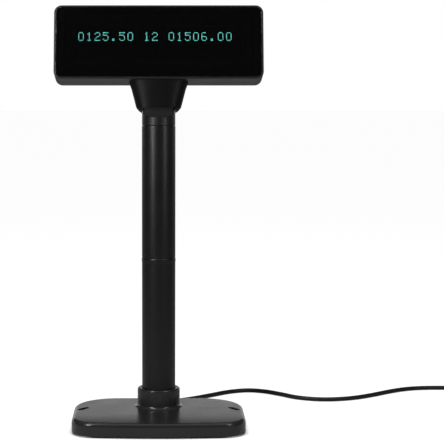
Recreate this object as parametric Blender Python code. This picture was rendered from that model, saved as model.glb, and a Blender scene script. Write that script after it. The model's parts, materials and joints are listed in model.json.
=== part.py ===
"""Customer pole display: a tilting two-line display head on a two-piece pole with a weighted base.

Metres, +Z up, -Y is the side that the customer sees. The origin is on the counter, at the middle of
the base's footprint. The swivel turns about the pole's axis, and the head tilts about a pin across
the top of the pole. Head pieces are modelled in the head's own frame, whose origin is on that pin.
"""

from math import asin, atan2, cos, pi, radians, sin, sqrt

import bmesh
import bpy
from mathutils import Matrix, Vector

MM = 0.001

# Fits
GAP = 0.3 * MM  # between pieces that touch
RUNNING = 0.4 * MM  # between pieces that turn on each other
HOLE_PLAY = 0.3 * MM  # between a screw and its hole

# Base
BASE_WIDTH = 179 * MM
BASE_FRONT = 86 * MM  # pole axis to the front edge
BASE_REAR = 41 * MM  # pole axis to the rear edge
BASE_HEIGHT = 16 * MM
FRONT_BOW = 670 * MM
FRONT_CORNER = 25 * MM
REAR_CORNER = 45 * MM
BASE_EDGE = 4 * MM
BASE_WALL = 2.5 * MM
FOOT_RADIUS = 8 * MM
FOOT_HEIGHT = 1.3 * MM
SKIRT_LIFT = 1.0 * MM  # cover's lower rim above the counter
PLATE_THICK = 4 * MM
PLATE_WIDTH = 136 * MM
SLOT_PLACE = (79.5 * MM, -16.4 * MM)  # from the pole axis, right-hand slot
SLOT_LENGTH = 17 * MM
SLOT_WIDTH = 6.2 * MM
SLOT_TURN = radians(-56.7)
SLOT_WALL = 1.8 * MM
SCREW_BOSS = 4 * MM

# Collar moulded on the base
COLLAR_WALL = 4.85 * MM
COLLAR_HEIGHT = 20 * MM
COLLAR_FILLET = 3.5 * MM
COLLAR_LIP = 1.8 * MM

# Pole
POLE_RADIUS = 17.65 * MM
COLLAR_RADIUS = POLE_RADIUS + COLLAR_WALL
TUBE_WALL = 2.1 * MM
TUBE_SEAM = 175.2 * MM
POLE_TOP = 314.2 * MM
COUPLER_LENGTH = 50 * MM
COUPLER_WALL = 1.8 * MM
LOCK_NUT_WALL = 7.35 * MM
LOCK_NUT_HEIGHT = 3.6 * MM
SEAM_BEAD = 0.25 * MM  # the lower tube swells this much under its seam
TUBE_CHAMFER = 0.4 * MM
SEAM_CHAMFER = 0.3 * MM

# Swivel
SPIGOT_RADIUS = 12 * MM
SPIGOT_LENGTH = 19 * MM
SPIGOT_BORE = 7 * MM
BUSH_LENGTH = 12 * MM
WASHER_THICK = 0.6 * MM
CLIP_THICK = 1.6 * MM
CLIP_GROOVE = 1.2 * MM
CLIP_REACH = 2.0 * MM
SWIVEL_HEIGHT = 13.8 * MM  # collar above the pole
SWIVEL_TOP = POLE_TOP + SWIVEL_HEIGHT

# Tilt joint
PIVOT_ABOVE = 9 * MM  # pin above the swivel collar
PIVOT_HEIGHT = SWIVEL_TOP + PIVOT_ABOVE
LEAN = radians(13)  # of the face, from upright, in the stored pose
TILT_FORWARD = radians(13)
TILT_BACK = radians(17)
PIN_RADIUS = 3 * MM
EAR_RADIUS = 8.5 * MM
EAR_THICK = 4.5 * MM
EAR_GAP = 12 * MM  # clear width between the two ears
FRICTION_THICK = 0.8 * MM
TILT_PLATE = 1.8 * MM
TILT_PLATE_RADIUS = 8 * MM
FLANGE_WIDTH = 6.5 * MM
FLANGE_DEPTH = 11 * MM
FLANGE_BEHIND = 0.5 * MM  # behind the bezel's edge

# Head, in its own frame: x right, y back, z up along the face
HEAD_WIDTH = 217 * MM
HEAD_HEIGHT = 78 * MM
HEAD_DEPTH = 34 * MM
HEAD_CORNER = 8 * MM
HEAD_WALL = 2.2 * MM
FACE_AHEAD = 30.6 * MM  # face in front of the tilt pin
HEAD_ABOVE = 19.7 * MM  # underside above the tilt pin
BEZEL_DEPTH = 19 * MM
FACE_EDGE = 1.0 * MM
BACK_EDGE = 3 * MM
BEZEL_RIM = 1.8 * MM
WINDOW_THICK = 2.0 * MM
LEDGE_WIDTH = 3.8 * MM
LEDGE_THICK = 2.0 * MM
CABLE_SLOT = (16 * MM, 8 * MM)

# Inside the head
VFD_SIZE = (184 * MM, 8 * MM, 38 * MM)
VFD_DROP = 2 * MM
VFD_BEHIND = 4.6 * MM
GASKET_WIDTH = 11 * MM
GASKET_THICK = 1.6 * MM
BOARD_THICK = 1.6 * MM
BOARD_HEIGHT = HEAD_HEIGHT - 24 * MM
BOARD_BEHIND = 13.6 * MM
CONTROLLER_SIZE = (120 * MM, 46 * MM)
CONTROLLER_BEHIND = 21.5 * MM
TRANSFORMER_SIZE = (14 * MM, 6 * MM, 12 * MM)
CONNECTOR_SIZE = (16 * MM, 6.5 * MM, 7 * MM)
BOARD_POST = 2.6 * MM
COVER_POST = 4.2 * MM
COVER_POST_INSET = 4.5 * MM
NECK_POST = 3.4 * MM
COVER_WELL = 5 * MM  # depth of the wells for the cover screws
VENT_SIZE = (26 * MM, 1.6 * MM)
VENT_PITCH = 5 * MM
VENT_MIDDLE = 48 * MM
VENT_ROWS = 5
BOARD_POST_SPREAD = BOARD_HEIGHT / 2 - 7 * MM

# Knuckle: the drum on the swivel collar that the neck swings round, centred on the tilt pin
KNUCKLE_HALF = 16.6 * MM
KNUCKLE_WALL = 1.8 * MM
KNUCKLE_TOP = -12  # degrees below level, so above it
KNUCKLE_SHOULDER = 6.5 * MM  # its side walls stay this far below the pin
KNUCKLE_STATIONS = 12

# Neck shell under the head, measured from the tilt pin
NECK_BOWL_HALF = POLE_RADIUS + 6.75 * MM
NECK_TOP_HALF = NECK_BOWL_HALF + 5.6 * MM
NECK_BOWL_DEPTH = 14.2 * MM
NECK_EDGE_DROP = 3.7 * MM  # crisp lower edge of the neck's front, below the pin
NECK_FRONT = (POLE_RADIUS + 7.35 * MM, POLE_RADIUS + 6.95 * MM)  # ahead of the pin, low and high
NECK_REAR = (16.0 * MM, 9.5 * MM)
BOWL_FRONT = POLE_RADIUS + 0.55 * MM  # ahead of the pin, at the bottom of the bowl
NECK_WALL = 2.2 * MM
NECK_CLEAR = 0.5 * MM  # between the neck and what it swings over
SWING_STEPS = 4
NECK_CHEEK = NECK_BOWL_HALF - 3.8 * MM  # half the clear width between the neck's cheeks
NECK_SIDES = 40
NECK_SQUARE = 3.2  # superellipse power of the neck's plan at its lower edge
NECK_TOP_SQUARE = 2.8  # and at the head

# Fasteners: shank radius, head radius, head thickness
SCREW_M3 = (1.5 * MM, 2.8 * MM, 1.6 * MM)
SCREW_SMALL = (1.1 * MM, 2.1 * MM, 1.2 * MM)

# Cord
CORD_RADIUS = 2.25 * MM
GLAND_HEIGHT = 6.5 * MM
GLAND_RADIUS = 4 * MM
GLAND_LENGTH = 14 * MM
COIL_MIDDLE = (368 * MM, 130 * MM)  # from the pole axis
COIL_RADIUS = 25 * MM
COIL_TURNS_WIDE = 4
COIL_TURNS_HIGH = 2
COIL_SLACK = 0.5 * MM
TIE_THICK = 1.2 * MM
TIE_WIDTH = 6 * MM
TIE_TURN = radians(215)
PLUG_GRIP = (16 * MM, 30 * MM, 8 * MM)
PLUG_SHELL = (12 * MM, 18.7 * MM, 4.5 * MM)

# Route of the free cord on the counter, from the pole axis, chosen by hand
CORD_ROUTE_MM = [
    (0, 62, 5.0),
    (4, 76, 3.0),
    (17, 87, 2.3),
    (38, 101, 2.3),
    (60, 120, 2.3),
    (82, 139, 2.3),
    (104, 147.5, 2.3),
    (124, 141, 2.3),
    (142, 124.5, 2.3),
    (158, 107.5, 2.3),
    (180, 97.5, 2.3),
    (202, 98, 2.3),
    (224, 106, 2.3),
    (246, 121.5, 2.3),
    (270, 142, 2.3),
    (292, 156, 2.3),
    (316, 162, 2.3),
]

POLE_Y = (BASE_FRONT - BASE_REAR) / 2
ROUND = 36  # sides of a large round piece
SMALL_ROUND = 12
SCREW_SIDES = 8


# ---------------------------------------------------------------- helpers


def finish(name, colour, roughness, metallic=0.0, transmission=0.0):
    """A Principled material."""
    made = bpy.data.materials.new(name)
    made.use_nodes = True
    shader = made.node_tree.nodes["Principled BSDF"]
    shader.inputs["Base Color"].default_value = (*colour, 1.0)
    shader.inputs["Roughness"].default_value = roughness
    shader.inputs["Metallic"].default_value = metallic
    shader.inputs["Transmission Weight"].default_value = transmission
    return made


def empty(name, place, parent=None, turn=0.0):
    """An empty that carries a moving group, on its joint's axis."""
    made = bpy.data.objects.new(name, None)
    bpy.context.scene.collection.objects.link(made)
    made.location = place
    made.rotation_euler = (turn, 0, 0)
    made.parent = parent
    return made


def piece(name, geometry, look, parent=None):
    """An object from (points, faces), smooth where it is round, with its faces outwards."""
    points, faces = geometry
    mesh = bpy.data.meshes.new(name)
    mesh.from_pydata([tuple(p) for p in points], [], faces)
    work = bmesh.new()
    work.from_mesh(mesh)
    bmesh.ops.recalc_face_normals(work, faces=work.faces)
    if work.calc_volume(signed=True) < 0:
        bmesh.ops.reverse_faces(work, faces=work.faces)
    work.to_mesh(mesh)
    work.free()
    mesh.shade_smooth()
    mesh.set_sharp_from_angle(angle=radians(35))
    made = bpy.data.objects.new(name, mesh)
    bpy.context.scene.collection.objects.link(made)
    if look:
        mesh.materials.append(look)
    made.parent = parent
    return made


def combine(target, operation, geometries, solver="EXACT"):
    """Cuts or joins hidden shapes into an object, one Boolean each."""
    for number, geometry in enumerate(geometries):
        tool = piece(f"{target.name}_{operation.lower()}_{number}", geometry, None, target.parent)
        tool.hide_render = True
        tool.display_type = "WIRE"
        change = target.modifiers.new(tool.name, "BOOLEAN")
        change.operation = operation
        change.solver = solver
        change.object = tool


def lofted(loops, closed=False):
    """Faces between equal loops of points, capped at both ends unless the loft closes on itself."""
    count = len(loops[0])
    points = [Vector(p) for loop in loops for p in loop]
    faces = []
    pairs = len(loops) if closed else len(loops) - 1
    for level in range(pairs):
        low = level * count
        high = (level + 1) % len(loops) * count
        for i in range(count):
            j = (i + 1) % count
            faces.append((low + i, low + j, high + j, high + i))
    if not closed:
        faces.append(tuple(range(count))[::-1])
        faces.append(tuple(range((len(loops) - 1) * count, len(loops) * count)))
    return points, faces


def revolved(profile, sides=ROUND, closed=True):
    """A turned solid about Z from (radius, height) points. A closed profile makes a ring."""
    loops = []
    for radius, height in profile:
        turn = [2 * pi * i / sides for i in range(sides)]
        loops.append([(radius * cos(a), radius * sin(a), height) for a in turn])
    return lofted(loops, closed)


def ring(inner, outer, low, high, sides=ROUND):
    """A plain washer or tube about Z."""
    return revolved([(inner, low), (outer, low), (outer, high), (inner, high)], sides)


def rod(radius, low, high, sides=SMALL_ROUND):
    """A plain cylinder about Z."""
    return revolved([(radius, low), (radius, high)], sides, closed=False)


def block(size, middle=(0, 0, 0)):
    """A box."""
    x, y, z = (s / 2 for s in size)
    base = [(-x, -y), (x, -y), (x, y), (-x, y)]
    loops = [[(a + middle[0], b + middle[1], h + middle[2]) for a, b in base] for h in (-z, z)]
    return lofted(loops)


def placed(geometry, matrix):
    """The same shape moved or turned by a matrix."""
    points, faces = geometry
    return [matrix @ Vector(p) for p in points], faces


def moved(geometry, x=0.0, y=0.0, z=0.0):
    """The same shape moved."""
    return placed(geometry, Matrix.Translation((x, y, z)))


def along_x(geometry):
    """A shape about Z laid along +X."""
    return placed(geometry, Matrix.Rotation(pi / 2, 4, "Y"))


def along_y(geometry):
    """A shape about Z laid along +Y."""
    return placed(geometry, Matrix.Rotation(-pi / 2, 4, "X"))


def arc(centre, radius, start, end, steps):
    """Points on an arc, angles in degrees."""
    angles = [radians(start + (end - start) * i / steps) for i in range(steps + 1)]
    return [(centre[0] + radius * cos(a), centre[1] + radius * sin(a)) for a in angles]


def rounded_rectangle(width, height, radius, steps=4):
    """Outline of a rounded rectangle about the origin."""
    x, y = width / 2 - radius, height / 2 - radius
    corners = [((x, y), 0), ((-x, y), 90), ((-x, -y), 180), ((x, -y), 270)]
    return [p for middle, turn in corners for p in arc(middle, radius, turn, turn + 90, steps)]


def stadium(length, width, steps=6):
    """Outline of a slot along X."""
    radius = width / 2
    reach = length / 2 - radius
    return arc((reach, 0), radius, -90, 90, steps) + arc((-reach, 0), radius, 90, 270, steps)


def prism(outline, low, high):
    """An outline raised from one height to another."""
    return lofted([[(x, y, z) for x, y in outline] for z in (low, high)])


def across_x(outline, low, high):
    """An outline in (y, z) carried along X."""
    turn = Matrix(((0, 0, 1, 0), (1, 0, 0, 0), (0, 1, 0, 0), (0, 0, 0, 1)))
    return placed(prism(outline, low, high), turn)


def screw(kind, length):
    """A pan-head screw about Z. The shank points up, and the head's seat is at height 0."""
    shank, head, thick = kind
    return revolved(
        [(head * 0.75, -thick), (head, -thick * 0.6), (head, 0), (shank, 0), (shank, length)],
        SCREW_SIDES,
        closed=False,
    )


def hexagon(across, low, high):
    """A hexagonal nut blank about Z."""
    return revolved([(across / sqrt(3), low), (across / sqrt(3), high)], 6, closed=False)


def smooth_route(route, spacing):
    """Points about `spacing` apart on a Catmull-Rom curve through a route."""
    route = [Vector(p) for p in route]
    ends = [2 * route[0] - route[1]] + route + [2 * route[-1] - route[-2]]
    fine = []
    for a, b, c, d in zip(ends, ends[1:], ends[2:], ends[3:]):
        steps = max(2, round((c - b).length / spacing))
        for i in range(steps):
            t = i / steps
            square = (2 * a - 5 * b + 4 * c - d) * t**2
            cube = (3 * b - a - 3 * c + d) * t**3
            fine.append((2 * b + (c - a) * t + square + cube) / 2)
    return fine + [route[-1]]


def cable(name, route, radius, look, spacing=11 * MM, parent=None):
    """A round cable along a smooth route: a bevelled curve with filled caps."""
    curve = bpy.data.curves.new(name, "CURVE")
    curve.dimensions = "3D"
    curve.bevel_depth = radius
    curve.bevel_resolution = 2
    curve.use_fill_caps = True
    points = smooth_route(route, spacing)
    line = curve.splines.new("POLY")
    line.points.add(len(points) - 1)
    for point, place in zip(line.points, points):
        point.co = (*place, 1.0)
    curve.materials.append(look)
    made = bpy.data.objects.new(name, curve)
    bpy.context.scene.collection.objects.link(made)
    made.parent = parent
    return made


# ---------------------------------------------------------------- base


def base_outline(inset):
    """Footprint about the pole axis: straight sides, round corners and a gently bowed front."""
    half = BASE_WIDTH / 2
    bow_middle = (0, FRONT_BOW - BASE_FRONT)
    front_x = half - FRONT_CORNER
    front_y = bow_middle[1] - sqrt((FRONT_BOW - FRONT_CORNER) ** 2 - front_x**2)
    lean = atan2(front_x, bow_middle[1] - front_y) * 180 / pi
    rear = (half - REAR_CORNER, BASE_REAR - REAR_CORNER)
    outline = arc(rear, REAR_CORNER - inset, 0, 90, 7)
    outline += arc((-rear[0], rear[1]), REAR_CORNER - inset, 90, 180, 7)
    outline += arc((-front_x, front_y), FRONT_CORNER - inset, 180, 270 - lean, 5)
    outline += arc(bow_middle, FRONT_BOW - inset, 270 - lean, 270 + lean, 4)[1:-1]
    outline += arc((front_x, front_y), FRONT_CORNER - inset, 270 + lean, 360, 5)
    return outline


def collar_shape():
    """The moulded socket's outside, with a fillet at its foot and a rounded lip."""
    foot = BASE_HEIGHT
    top = foot + COLLAR_HEIGHT
    fillet = arc((COLLAR_RADIUS + COLLAR_FILLET, foot + COLLAR_FILLET), COLLAR_FILLET, 270, 180, 3)
    lip = arc((COLLAR_RADIUS - COLLAR_LIP, top - COLLAR_LIP), COLLAR_LIP, 0, 90, 3)
    skirt = [(COLLAR_RADIUS + COLLAR_FILLET, foot - BASE_WALL / 2)]
    return revolved(skirt + fillet + lip, closed=False)


def slot_shapes(outline, low, high):
    """The outline placed at both screw-down slots."""
    for side in (1, -1):
        x, y = SLOT_PLACE
        turn = Matrix.Rotation(SLOT_TURN * side, 4, "Z")
        yield placed(prism(outline, low, high), Matrix.Translation((x * side, y, 0)) @ turn)


def base_screw_places():
    """Four bosses under the cover, clear of the pole and the plate's edge."""
    x = PLATE_WIDTH / 2 - 12 * MM
    front = -BASE_FRONT + 22 * MM
    rear = BASE_REAR - 20 * MM
    return [(-x, front), (x, front), (-x, rear), (x, rear)]


def foot_places():
    """Four feet under the plate, nearer the corners than the screws."""
    x = PLATE_WIDTH / 2 - FOOT_RADIUS - 4 * MM
    front = -BASE_FRONT + 37 * MM
    rear = BASE_REAR - 37 * MM
    return [(-x, front), (x, front), (-x, rear), (x, rear)]


def make_base(root, looks):
    """Cover with its collar, weight plate, feet, screws and the pole's lock nut."""
    under = BASE_HEIGHT - BASE_WALL
    plate_low = FOOT_HEIGHT + GAP
    plate_high = plate_low + PLATE_THICK
    boss_low = plate_high + GAP
    shank, head, _ = SCREW_M3

    edge = arc((BASE_EDGE, BASE_HEIGHT - BASE_EDGE), BASE_EDGE, 180, 90, 3)
    rim = [(0.6 * MM, SKIRT_LIFT), (0, SKIRT_LIFT + 0.6 * MM)]
    outer = [[(x, y, z) for x, y in base_outline(inset)] for inset, z in rim + edge]
    cover = piece("base_cover", lofted(outer), looks["base"], root)
    hollow = [[(x, y, z) for x, y in base_outline(BASE_WALL)] for z in (0, under - BASE_EDGE / 2)]
    hollow.append([(x, y, under) for x, y in base_outline(BASE_WALL + BASE_EDGE / 2)])
    combine(cover, "DIFFERENCE", [lofted(hollow)])
    boss = rod(SCREW_BOSS, boss_low, under + BASE_WALL / 2)
    bosses = [moved(boss, x, y) for x, y in base_screw_places()]
    walls = stadium(SLOT_LENGTH + 2 * SLOT_WALL, SLOT_WIDTH + 2 * SLOT_WALL)
    sleeves = list(slot_shapes(walls, SKIRT_LIFT, under + BASE_WALL / 2))
    combine(cover, "UNION", [collar_shape(), *bosses, *sleeves])
    slots = list(slot_shapes(stadium(SLOT_LENGTH, SLOT_WIDTH), 0, BASE_HEIGHT + BASE_EDGE))
    pilot = rod(shank + HOLE_PLAY, 0, boss_low + 6 * MM)
    pilots = [moved(pilot, x, y) for x, y in base_screw_places()]
    bore = rod(POLE_RADIUS + GAP, 0, BASE_HEIGHT + COLLAR_HEIGHT + BASE_EDGE, ROUND)
    outlet = along_y(rod(GLAND_RADIUS + GAP, BASE_REAR - 3 * BASE_WALL, BASE_REAR + BASE_WALL))
    combine(cover, "DIFFERENCE", [bore, moved(outlet, z=GLAND_HEIGHT), *pilots, *slots])

    clear = BASE_WALL + 1 * MM
    trimmed = [(max(-PLATE_WIDTH / 2, min(PLATE_WIDTH / 2, x)), y) for x, y in base_outline(clear)]
    plate = piece("base_plate", prism(trimmed, plate_low, plate_high), looks["steel"], root)
    holes = [moved(rod(shank + HOLE_PLAY, 0, BASE_HEIGHT), x, y) for x, y in base_screw_places()]
    notch = block((20 * MM, 16 * MM, BASE_HEIGHT), (0, BASE_REAR, BASE_HEIGHT / 2))
    channel_start = POLE_RADIUS - TUBE_WALL - CORD_RADIUS * 3
    channel_size = (CORD_RADIUS * 2 + 3 * MM, BASE_REAR - channel_start, BASE_HEIGHT)
    channel = block(channel_size, (0, (BASE_REAR + channel_start) / 2, BASE_HEIGHT / 2))
    combine(plate, "DIFFERENCE", [*holes, notch, channel])

    names = ("front_left", "front_right", "rear_left", "rear_right")
    for name, (x, y) in zip(names, foot_places()):
        foot = revolved([(FOOT_RADIUS, 0), (FOOT_RADIUS, FOOT_HEIGHT)], 24, closed=False)
        piece(f"foot_{name}", moved(foot, x, y), looks["rubber"], root)
    for name, (x, y) in zip(names, base_screw_places()):
        low_head = (shank, head, plate_low - GAP - 0.2 * MM)
        body = screw(low_head, boss_low + 5 * MM - plate_low)
        piece(f"base_screw_{name}", moved(body, x, y, plate_low - GAP), looks["zinc"], root)

    nut_low = under - GAP - LOCK_NUT_HEIGHT
    nut = ring(POLE_RADIUS + GAP, POLE_RADIUS + LOCK_NUT_WALL, nut_low, nut_low + LOCK_NUT_HEIGHT)
    piece("pole_lock_nut", nut, looks["inner_plastic"], root)


# ---------------------------------------------------------------- pole


def make_pole(root, looks):
    """Two tubes on an inner coupler, and the bush and washer that the swivel turns on."""
    foot = FOOT_HEIGHT + GAP + PLATE_THICK + GAP
    inner = POLE_RADIUS - TUBE_WALL
    lower = [
        (inner, foot),
        (POLE_RADIUS - TUBE_CHAMFER, foot),
        (POLE_RADIUS, foot + TUBE_CHAMFER),
        (POLE_RADIUS, TUBE_SEAM - 6 * MM),
        (POLE_RADIUS + SEAM_BEAD, TUBE_SEAM - 3 * MM),
        (POLE_RADIUS + SEAM_BEAD, TUBE_SEAM - 0.8 * MM),
        (POLE_RADIUS - SEAM_CHAMFER, TUBE_SEAM),
        (inner, TUBE_SEAM),
    ]
    upper = [
        (inner, TUBE_SEAM + GAP),
        (POLE_RADIUS - SEAM_CHAMFER, TUBE_SEAM + GAP),
        (POLE_RADIUS, TUBE_SEAM + GAP + TUBE_CHAMFER),
        (POLE_RADIUS, POLE_TOP - TUBE_CHAMFER),
        (POLE_RADIUS - SEAM_CHAMFER, POLE_TOP),
        (inner, POLE_TOP),
    ]
    lower_tube = piece("lower_tube", revolved(lower), looks["tube"], root)
    mouth = along_y(rod(GLAND_RADIUS + 2 * GAP, 0, 2 * POLE_RADIUS))
    combine(lower_tube, "DIFFERENCE", [moved(mouth, z=GLAND_HEIGHT)])
    piece("upper_tube", revolved(upper), looks["tube"], root)

    sleeve = inner - GAP
    coupler = ring(
        sleeve - COUPLER_WALL, sleeve, TUBE_SEAM - COUPLER_LENGTH / 2, TUBE_SEAM + COUPLER_LENGTH / 2
    )
    piece("tube_coupler", coupler, looks["inner_plastic"], root)

    washer_high = POLE_TOP - GAP
    bush_high = washer_high - WASHER_THICK - GAP
    bush = ring(SPIGOT_RADIUS + RUNNING, inner - GAP, bush_high - BUSH_LENGTH, bush_high)
    piece("pole_top_bush", bush, looks["bush"], root)
    washer = ring(SPIGOT_RADIUS + RUNNING, inner - GAP, washer_high - WASHER_THICK, washer_high)
    piece("swivel_washer", washer, looks["steel"], root)
    return bush_high - BUSH_LENGTH


# ---------------------------------------------------------------- swivel


def bowl_depth(x):
    """How far below the pin the bowl's outline is, seen from the front, at a distance to the side."""
    return NECK_BOWL_DEPTH * sqrt(1 - (x / NECK_BOWL_HALF) ** 2)


def edge_half():
    """Half the neck's width at its front's lower edge."""
    return NECK_BOWL_HALF * sqrt(1 - (NECK_EDGE_DROP / NECK_BOWL_DEPTH) ** 2)


def knuckle_radius(x):
    """Radius of the drum at a distance to the side, which follows the inside of the neck's front."""
    half = edge_half() - NECK_WALL
    front, rear = min(NECK_FRONT) - NECK_WALL, NECK_REAR[0] - NECK_WALL
    blunt = (1 - (abs(x) / half) ** NECK_SQUARE) ** (1 / NECK_SQUARE)
    return (front - rear) / 2 + (front + rear) / 2 * blunt - NECK_CLEAR


def knuckle_shape():
    """Front of the drum and its side walls: sections across x, trimmed below to the bowl's outline."""
    inner = knuckle_radius(KNUCKLE_HALF) - KNUCKLE_WALL
    back = -SPIGOT_BORE - 1.5 * MM
    shoulder = asin(KNUCKLE_SHOULDER / inner) * 180 / pi
    loops = []
    for i in range(KNUCKLE_STATIONS + 1):
        x = KNUCKLE_HALF * (2 * i / KNUCKLE_STATIONS - 1)
        low, outer = bowl_depth(x), knuckle_radius(x)
        section = arc((0, 0), outer, 180 + KNUCKLE_TOP, 180 + asin(low / outer) * 180 / pi, 10)
        section += [(back, -low), (back, -KNUCKLE_SHOULDER)]
        section += arc((0, 0), inner, 180 + shoulder, 180 + KNUCKLE_TOP, 6)
        loops.append([(x, y, z) for y, z in section])
    return lofted(loops)


def knuckle_hollow(floor):
    """Room for the tilt plates inside the drum, down to a floor."""
    inner = knuckle_radius(KNUCKLE_HALF) - KNUCKLE_WALL
    end = asin(-floor / inner) * 180 / pi
    outline = arc((0, 0), inner, 180 + 2 * KNUCKLE_TOP, 180 + end, 8) + [(0, floor), (0, EAR_RADIUS)]
    return across_x(outline, -KNUCKLE_HALF + KNUCKLE_WALL, KNUCKLE_HALF - KNUCKLE_WALL)


def pin_stack():
    """Where the pieces on the tilt pin start and end, from the middle outwards."""
    ear = EAR_GAP / 2 + EAR_THICK
    disc = ear + GAP
    plate = disc + FRICTION_THICK + GAP
    return ear, disc, plate, plate + TILT_PLATE


def make_swivel(swivel, looks, bush_low):
    """The turning collar with its ears and spigot, its clip, and the tilt pin with its nut and discs."""
    low = POLE_TOP + GAP - PIVOT_HEIGHT
    top = SWIVEL_TOP - PIVOT_HEIGHT
    collar_radius = POLE_RADIUS - 0.15 * MM
    groove_high = bush_low - GAP - PIVOT_HEIGHT
    groove_low = groove_high - CLIP_THICK - 2 * GAP
    spigot_low = low - SPIGOT_LENGTH
    ear, disc, _, plate_end = pin_stack()

    profile = [
        (SPIGOT_BORE, spigot_low),
        (SPIGOT_RADIUS - 0.5 * MM, spigot_low),
        (SPIGOT_RADIUS, spigot_low + 0.5 * MM),
        (SPIGOT_RADIUS, groove_low),
        (SPIGOT_RADIUS - CLIP_GROOVE, groove_low),
        (SPIGOT_RADIUS - CLIP_GROOVE, groove_high),
        (SPIGOT_RADIUS, groove_high),
        (SPIGOT_RADIUS, low),
        (collar_radius - 0.6 * MM, low),
        (collar_radius, low + 0.6 * MM),
        (collar_radius, top - 0.8 * MM),
        (collar_radius - 0.8 * MM, top),
        (SPIGOT_BORE, top),
    ]
    collar = piece("swivel_collar", revolved(profile), looks["collar"], swivel)
    arch = [(-EAR_RADIUS, top - MM)] + arc((0, 0), EAR_RADIUS, 180, 0, 12) + [(EAR_RADIUS, top - MM)]
    ears = [across_x(arch, side * EAR_GAP / 2, side * ear) for side in (1, -1)]
    combine(collar, "UNION", [knuckle_shape()])
    combine(collar, "DIFFERENCE", [knuckle_hollow(top + 0.5 * MM)])
    combine(collar, "UNION", ears)
    pin_hole = along_x(rod(PIN_RADIUS + 0.1 * MM, -POLE_RADIUS, POLE_RADIUS, 24))
    combine(collar, "DIFFERENCE", [pin_hole])

    clip_low = groove_low + GAP
    clip_inner = SPIGOT_RADIUS - CLIP_GROOVE + GAP
    clip = ring(clip_inner, SPIGOT_RADIUS + CLIP_REACH, clip_low, clip_low + CLIP_THICK)
    made = piece("swivel_clip", clip, looks["steel"], swivel)
    split = block((20 * MM, 5 * MM, 3 * CLIP_THICK), (SPIGOT_RADIUS + 5 * MM, 0, clip_low))
    combine(made, "DIFFERENCE", [split])

    end = plate_end + GAP
    bolt = [
        (PIN_RADIUS + 2.2 * MM, -end - 2.4 * MM),
        (PIN_RADIUS + 2.6 * MM, -end - 1.8 * MM),
        (PIN_RADIUS + 2.6 * MM, -end),
        (PIN_RADIUS, -end),
        (PIN_RADIUS, end + 3.4 * MM),
    ]
    piece("tilt_pin", along_x(revolved(bolt, 24, closed=False)), looks["zinc"], swivel)
    nut = piece("tilt_nut", along_x(hexagon(9 * MM, end, end + 2.6 * MM)), looks["zinc"], swivel)
    combine(nut, "DIFFERENCE", [along_x(rod(PIN_RADIUS + 0.1 * MM, end - MM, end + 4 * MM, 24))])
    for side, name in ((-1, "left"), (1, "right")):
        disc_shape = ring(PIN_RADIUS + 0.1 * MM, EAR_RADIUS - 1 * MM, disc, disc + FRICTION_THICK, 24)
        turned = placed(along_x(disc_shape), Matrix.Scale(side, 4, (1, 0, 0)))
        piece(f"friction_disc_{name}", turned, looks["bush"], swivel)


# ---------------------------------------------------------------- neck


def neck_section(half, front, rear, power, height):
    """One plan section of the neck: a superellipse, blunter in front, at a height that may vary with y."""
    middle, deep = (rear - front) / 2, (rear + front) / 2
    loop = []
    for i in range(NECK_SIDES):
        angle = 2 * pi * (i + 0.5) / NECK_SIDES
        c, s = cos(angle), sin(angle)
        x = half * abs(c) ** (2 / power) * (1 if c > 0 else -1)
        y = middle + deep * abs(s) ** (2 / power) * (1 if s > 0 else -1)
        loop.append((x, y, height(y)))
    return loop


def under_head(y):
    """Height of the head's tilted underside, less the gap, at a distance behind the pin."""
    return (HEAD_ABOVE - GAP - y * sin(LEAN)) / cos(LEAN)


def neck_loops(wall):
    """Sections of the neck from its bowl up to the head, inset by a wall."""
    edge = -NECK_EDGE_DROP
    loops = []
    for share in (0.97, 0.88, 0.72, 0.5):
        z = -NECK_BOWL_DEPTH * share
        fall = (z - edge) / (-NECK_BOWL_DEPTH - edge)
        half = NECK_BOWL_HALF * sqrt(1 - share**2)
        front = NECK_FRONT[0] + (BOWL_FRONT - NECK_FRONT[0]) * fall
        rear = NECK_REAR[0] * (1 - 0.5 * fall)
        power = 2.2 + (NECK_SQUARE - 2.2) * (1 - fall)
        loops.append(neck_section(half - wall, front - wall, rear - wall, power, lambda y, z=z: z))
    start = edge_half()
    for t in (0.0, 0.4, 0.75, 0.92, 1.0):
        flare = 0.12 * max(0.0, t - 0.75) * NECK_BOWL_HALF
        half = start + (NECK_TOP_HALF - start) * t + flare
        front = NECK_FRONT[0] + (NECK_FRONT[1] - NECK_FRONT[0]) * t
        rear = NECK_REAR[0] + (NECK_REAR[1] - NECK_REAR[0]) * t
        rise = t

        def height(y, rise=rise):
            return edge + (under_head(y) - edge) * rise

        power = NECK_SQUARE + (NECK_TOP_SQUARE - NECK_SQUARE) * t
        loops.append(neck_section(half - wall, front - wall, rear - wall, power, height))
    return loops


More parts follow.
